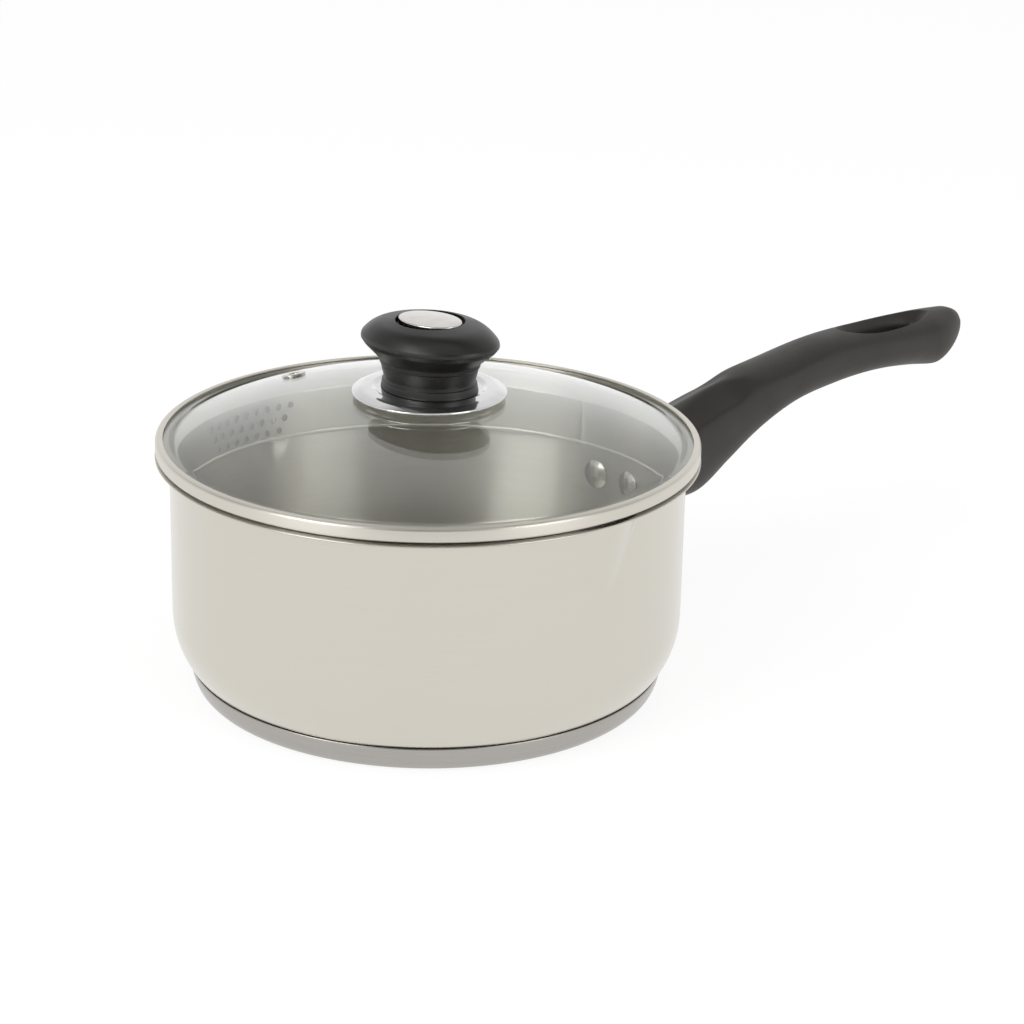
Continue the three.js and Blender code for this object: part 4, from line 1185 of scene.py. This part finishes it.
def build_plate(sizes):
    """The chrome plate under the knob: a flat middle, and a ring that rises over a short step and then
    falls in a shallow curve to the rounded edge, which turns under."""
    high, edge, hole = top("knob_base_plate"), reach("knob_base_plate"), 2.2 * MM
    sheet, flat = sizes.plate_thickness, sizes.plate_flat_radius
    crown, low = high + sizes.plate_crown, high - sizes.plate_drop
    profile = rounded([
        (hole, high, 0), (flat, high, 0.3 * MM), (flat + 1.6 * MM, crown, 1 * MM),
        (edge - 3.2 * MM, crown - 0.2 * MM, 6 * MM), (edge, low, 0.4 * MM),
        (edge, low - sheet, 0.3 * MM), (edge - 1.2 * MM, low - sheet, 0.2 * MM),
        (edge - 3.6 * MM, high - sheet, 1 * MM), (hole, high - sheet, 0),
    ], 8)
    shell = ring_shell(turned(profile, whole_turn(240)))
    piece = make_piece("knob_plate_turned", shell, [finish("chrome_plate")], crease=60)
    settle(piece, "lid_axis", "bright_chrome", "knob_base_plate")


def oval_shell(shares, long_half, wide_half, heights):
    """Ovals with their long axis along the lid's straining axis, one for each share and height. At share
    0 an oval has the first half axes, at 1 the second."""
    angles = whole_turn(192)
    long_axis = long_half[0] + shares * (long_half[1] - long_half[0])
    short_axis = wide_half[0] + shares * (wide_half[1] - wide_half[0])
    grid = np.stack(np.broadcast_arrays(
        short_axis[:, None] * np.cos(angles), long_axis[:, None] * np.sin(angles), heights[:, None],
    ), -1)
    points, faces = capped_shell(grid, [0, 0, heights[0]], [0, 0, heights[-1]])
    return about_axis(points, lid_turn()), faces


def build_knob(sizes):
    """Ovals stacked along a section: a foot ring, a hollow neck that widens to a collar, a cap with a
    crisp lower edge, and a low dome that ends in the inlay's recess. The section's corners are (share of
    the way out from neck to cap, share of the height, rounding)."""
    low, tall = bottom("knob_grip"), top("knob_grip") - bottom("knob_grip")
    spread = (sizes.cap_length - sizes.neck_length) / 2
    recess = (sizes.disc_length / 2 + sizes.fit - sizes.neck_length / 2) / spread
    fine, soft = 0.5 * MM, 2 * MM
    section = np.array([
        (-1, 0, 0), (0.13, 0, fine / 2), (0.1, 0.03, fine / 2), (0.06, 0.115, fine / 2),
        (0, 0.12, fine / 2), (0, 0.17, soft), (0.14, 0.36, fine), (0.19, 0.375, fine), (0.2, 0.43, fine),
        (0.28, 0.46, fine), (0.86, 0.635, soft), (1, 0.7, fine), (0.985, 0.755, soft),
        (0.52, 0.93, 7 * soft), (recess + 0.03, 0.997, fine / 2), (recess, 0.993, fine / 5),
        (recess, 0.93, 0),
    ])
    profile = rounded(section * (spread, tall, 1) + (0, low, 0), 7)
    shell = oval_shell(
        profile[:, 0] / spread, (sizes.neck_length / 2, sizes.cap_length / 2),
        (sizes.neck_width / 2, sizes.cap_width / 2), profile[:, 1],
    )
    # the resin's colour is darkened as painted shade on the neck
    piece = make_piece("knob_moulding", shell, [finish("satin_phenolic_painted_shade")], crease=50)
    settle(piece, "lid", "phenolic", "knob_grip")


def build_disc(sizes):
    """An oval metal inlay: a short rim with a rounded edge, then a dome that falls with the square of
    the distance from the middle."""
    edge, bevel = np.linspace(0, np.pi / 2, 6), 0.035
    size = np.concatenate([[1], 1 - bevel + bevel * np.cos(edge), np.linspace(0.93, 0.03, 16)])
    height = top("knob_cap_disc") - sizes.disc_crown * size**2
    height[0] = bottom("knob_cap_disc")
    height[1:len(edge) + 1] -= sizes.disc_edge * (1 - np.sin(edge))
    shell = oval_shell(size, (0, sizes.disc_length / 2), (0, sizes.disc_width / 2), height)
    piece = make_piece("knob_inlay", shell, [finish("polished_inlay")])
    settle(piece, "lid", "satin_steel", "knob_cap_disc")


# ---------------------------------------------------------------- stage

def view_axes(stage):
    """Right, up and forward of the camera as unit vectors, with its roll."""
    pitch, azimuth, roll = stage.pitch, stage.azimuth, stage.roll
    forward = Vector((
        math.sin(azimuth) * math.cos(pitch), math.cos(azimuth) * math.cos(pitch), -math.sin(pitch),
    ))
    right = Vector((math.cos(azimuth), -math.sin(azimuth), 0))
    up = right.cross(forward)
    return right * math.cos(roll) + up * math.sin(roll), up * math.cos(roll) - right * math.sin(roll), forward


def add_camera(stage):
    """The camera, at its distance from an aim point beside the pan's axis, looking along the view."""
    right, up, forward = view_axes(stage)
    flat_right = Vector((math.cos(stage.azimuth), -math.sin(stage.azimuth), 0))
    aim = flat_right * stage.aim_side + Vector((0, 0, stage.aim_height))
    data = bpy.data.cameras.new("view")
    data.lens = stage.focal
    camera = in_scene("view", data)
    axes = Matrix((right, up, -forward)).transposed().to_4x4()
    camera.matrix_world = Matrix.Translation(aim - forward * stage.distance) @ axes
    bpy.context.scene.camera = camera


def add_lamp(name, place, size, power):
    """A square soft light aimed at the pan's middle."""
    data = bpy.data.lights.new(name, "AREA")
    data.energy, data.size = power, size
    aim = Vector((0, 0, 60 * MM))
    facing = (place - aim).to_track_quat("Z", "Y").to_matrix().to_4x4()
    in_scene(name, data).matrix_world = Matrix.Translation(place) @ facing


# Brightness of the studio above the horizon, by direction about Z: 0 is straight behind the main camera
# and the turn goes to its left.
STUDIO_ABOVE = [
    (0.0, "#202020"), (0.05, "#303030"), (0.1, "#a0a0a0"), (0.14, "#f0f0f0"), (0.2, "#e0e0e0"),
    (0.27, "#b0b0b0"), (0.36, "#d8d8d8"), (0.5, "#f4f4f4"), (0.66, "#d8d8d8"), (0.74, "#b0b0b0"),
    (0.8, "#e0e0e0"), (0.86, "#f0f0f0"), (0.9, "#a0a0a0"), (0.95, "#303030"),
]
OVERHEAD = "#505050"
# Heights over which white turns to those tones, and they to the patch overhead, as the sine of the
# angle above the horizon.
STUDIO_STARTS = (0.15, 0.38)
OVERHEAD_STARTS = (0.75, 0.97)


def colours_round(tree, place, azimuth, stops):
    """A colour by the direction of a place or ray about Z, from stops round a full turn."""
    x, y, _ = parts(tree, place)
    turn = arithmetic(tree, "SUBTRACT", 1.5 * math.pi - azimuth, arithmetic(tree, "ARCTAN2", y, x))
    turn = arithmetic(tree, "FRACT", arithmetic(tree, "DIVIDE", turn, FULL_TURN))
    ramp = add_node(tree, "ShaderNodeValToRGB", None, {0: turn})
    marks = ramp.color_ramp
    marks.interpolation = "EASE"
    marks.elements[0].color = marks.elements[1].color = linear(stops[0][1])
    for place_round, hex_colour in stops[1:]:
        marks.elements.new(place_round).color = linear(hex_colour)
    return ramp.outputs[0]


def seen_rays(tree):
    """1 for rays that the camera sees, directly or by way of metal or glass, else 0."""
    path = add_node(tree, "ShaderNodeLightPath").outputs
    sent_on = arithmetic(tree, "MAXIMUM", path["Is Glossy Ray"], path["Is Transmission Ray"])
    return arithmetic(tree, "MAXIMUM", path["Is Camera Ray"], sent_on)


def white_background(stage):
    """A world that is white round the horizon, with a studio's softer tones higher up and a darker patch
    overhead. The camera, metal and glass all see the same one, and matt surfaces get a plain softer
    dome."""
    world = bpy.data.worlds.new("plain_studio")
    world.use_nodes = True
    tree = world.node_tree
    tree.nodes.clear()
    direction = add_node(tree, "ShaderNodeTexCoord").outputs["Generated"]
    height = parts(tree, direction)[2]
    above = colours_round(tree, direction, stage.azimuth, STUDIO_ABOVE)
    room = mixed(tree, smooth_rise(tree, height, *STUDIO_STARTS), WHITE, above)
    room = mixed(tree, smooth_rise(tree, height, *OVERHEAD_STARTS), room, linear(OVERHEAD))
    dome = add_node(tree, "ShaderNodeBackground", None, {"Color": WHITE, "Strength": stage.sky})
    seen = add_node(tree, "ShaderNodeBackground", None, {"Color": room, "Strength": 1.0})
    mix = add_node(tree, "ShaderNodeMixShader", None, {
        0: seen_rays(tree), 1: dome.outputs[0], 2: seen.outputs[0],
    })
    add_node(tree, "ShaderNodeOutputWorld", None, {"Surface": mix.outputs[0]})
    bpy.context.scene.world = world


def add_floor(stage):
    """A large pale floor. It shows white to the camera, metal and glass alike, and keeps the pan's soft
    shadow."""
    made, tree = new_material("pale_floor")
    matt = add_node(tree, "ShaderNodeBsdfDiffuse", None, {"Color": (0.9, 0.9, 0.9, 1)})
    white = add_node(tree, "ShaderNodeEmission", None, {"Color": WHITE, "Strength": 1.07})
    give_surface(tree, "ShaderNodeMixShader", {
        0: arithmetic(tree, "MULTIPLY", seen_rays(tree), stage.floor_glow),
        1: matt.outputs[0], 2: white.outputs[0],
    })
    half, gap = 6.0, 0.2 * MM
    low = min(bottom(node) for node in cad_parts) - gap
    corners = [(-half, -half, low), (half, -half, low), (half, half, low), (-half, half, low)]
    mesh = bpy.data.meshes.new("floor")
    mesh.from_pydata(corners, [], [(0, 1, 2, 3)])
    mesh.materials.append(made)
    in_scene("floor", mesh)


# ---------------------------------------------------------------- operators

class SAUCEPAN_OT_bowl(bpy.types.Operator):
    """Draw the bowl with its rim and spouts"""

    bl_idname = "saucepan.bowl"
    bl_label = "Bowl"

    def execute(self, context):
        build_bowl(context.scene.saucepan_pan)
        return {"FINISHED"}


class SAUCEPAN_OT_base(bpy.types.Operator):
    """Press the base cap and finish the core"""

    bl_idname = "saucepan.base"
    bl_label = "Base"

    def execute(self, context):
        build_base_cap(context.scene.saucepan_pan)
        dress("core_aluminium", "cast_aluminium", "base_core")
        return {"FINISHED"}


class SAUCEPAN_OT_rivets(bpy.types.Operator):
    """Set the two handle rivets"""

    bl_idname = "saucepan.rivets"
    bl_label = "Rivets"

    def execute(self, context):
        for node in ("rivet_left", "rivet_right"):
            build_rivet(context.scene.saucepan_pan, node)
        return {"FINISHED"}


class SAUCEPAN_OT_handle(bpy.types.Operator):
    """Mould the handle and finish its bracket and screw"""

    bl_idname = "saucepan.handle"
    bl_label = "Handle"

    def execute(self, context):
        build_handle(context.scene.saucepan_handle)
        dress("bracket_steel", "zinc_plated_steel", "handle_bracket", "handle_screw")
        return {"FINISHED"}


class SAUCEPAN_OT_glass(bpy.types.Operator):
    """Press the lid's glass"""

    bl_idname = "saucepan.glass"
    bl_label = "Glass"

    def execute(self, context):
        build_glass(context.scene.saucepan_lid)
        return {"FINISHED"}


class SAUCEPAN_OT_band(bpy.types.Operator):
    """Roll the lid's band with its straining holes"""

    bl_idname = "saucepan.band"
    bl_label = "Straining band"

    def execute(self, context):
        build_band(context.scene.saucepan_lid, context.scene.saucepan_pan)
        return {"FINISHED"}


class SAUCEPAN_OT_vent(bpy.types.Operator):
    """Set the steam vent in the glass"""

    bl_idname = "saucepan.vent"
    bl_label = "Steam vent"

    def execute(self, context):
        build_vent(context.scene.saucepan_lid)
        return {"FINISHED"}


class SAUCEPAN_OT_knob(bpy.types.Operator):
    """Mould the knob, with its plate and inlay, and finish its fixings"""

    bl_idname = "saucepan.knob"
    bl_label = "Knob"

    def execute(self, context):
        sizes = context.scene.saucepan_knob
        build_plate(sizes)
        build_knob(sizes)
        build_disc(sizes)
        dress("turned_brass", "turned_brass", "knob_insert")
        dress("silicone", "silicone_rubber", "knob_seal_upper", "knob_seal_lower")
        dress("bracket_steel", "zinc_plated_steel", "knob_lower_washer", "knob_screw")
        return {"FINISHED"}


class SAUCEPAN_OT_stage(bpy.types.Operator):
    """Set the camera, the floor and the light"""

    bl_idname = "saucepan.stage"
    bl_label = "Stage"

    def execute(self, context):
        stage = context.scene.saucepan_stage
        add_camera(stage)
        add_floor(stage)
        white_background(stage)
        right, _, forward = view_axes(stage)
        back = Vector((-forward.x, -forward.y, 0)).normalized()
        up = Vector((0, 0, 1))
        # places in metres from the pan, then the lamp's width: back is towards the camera
        add_lamp("key", back * 1.1 - right * 1.2 + up * 1.1, 1.0, stage.key_power)
        add_lamp("fill", back * 1.1 + right * 1.3 + up * 0.8, 0.9, stage.fill_power)
        add_lamp("overhead", up * 1.7 + back * 0.5, 1.2, stage.top_power)
        context.scene.view_settings.view_transform = "Standard"
        return {"FINISHED"}


OPERATORS = (
    SAUCEPAN_OT_stage, SAUCEPAN_OT_bowl, SAUCEPAN_OT_base, SAUCEPAN_OT_rivets, SAUCEPAN_OT_handle,
    SAUCEPAN_OT_glass, SAUCEPAN_OT_band, SAUCEPAN_OT_vent, SAUCEPAN_OT_knob,
)
GROUPS = {
    "saucepan_pan": SaucepanPanSizes, "saucepan_handle": SaucepanHandleSizes,
    "saucepan_lid": SaucepanLidSizes, "saucepan_knob": SaucepanKnobSizes,
    "saucepan_finishes": SaucepanFinishes, "saucepan_stage": SaucepanStage,
}


class SAUCEPAN_PT_panel(bpy.types.Panel):
    """Lists the steps that build the saucepan"""

    bl_idname = "SAUCEPAN_PT_panel"
    bl_label = "Saucepan"
    bl_space_type = "VIEW_3D"
    bl_region_type = "UI"
    bl_category = "Saucepan"

    def draw(self, context):
        for operator in OPERATORS:
            self.layout.operator(operator.bl_idname)


def register():
    """Registers the groups of sizes, the operators and the panel."""
    for group in GROUPS.values():
        bpy.utils.register_class(group)
    for name, group in GROUPS.items():
        setattr(bpy.types.Scene, name, PointerProperty(type=group))
    for operator in OPERATORS:
        bpy.utils.register_class(operator)
    bpy.utils.register_class(SAUCEPAN_PT_panel)


def unregister():
    """Takes them out again, in the opposite order."""
    bpy.utils.unregister_class(SAUCEPAN_PT_panel)
    for operator in reversed(OPERATORS):
        bpy.utils.unregister_class(operator)
    for name in GROUPS:
        delattr(bpy.types.Scene, name)
    for group in reversed(GROUPS.values()):
        bpy.utils.unregister_class(group)


def main():
    """Registers the add-on and builds every piece in order."""
    register()
    for operator in OPERATORS:
        group, name = operator.bl_idname.split(".")
        getattr(getattr(bpy.ops, group), name)()


if __name__ == "__main__":
    main()
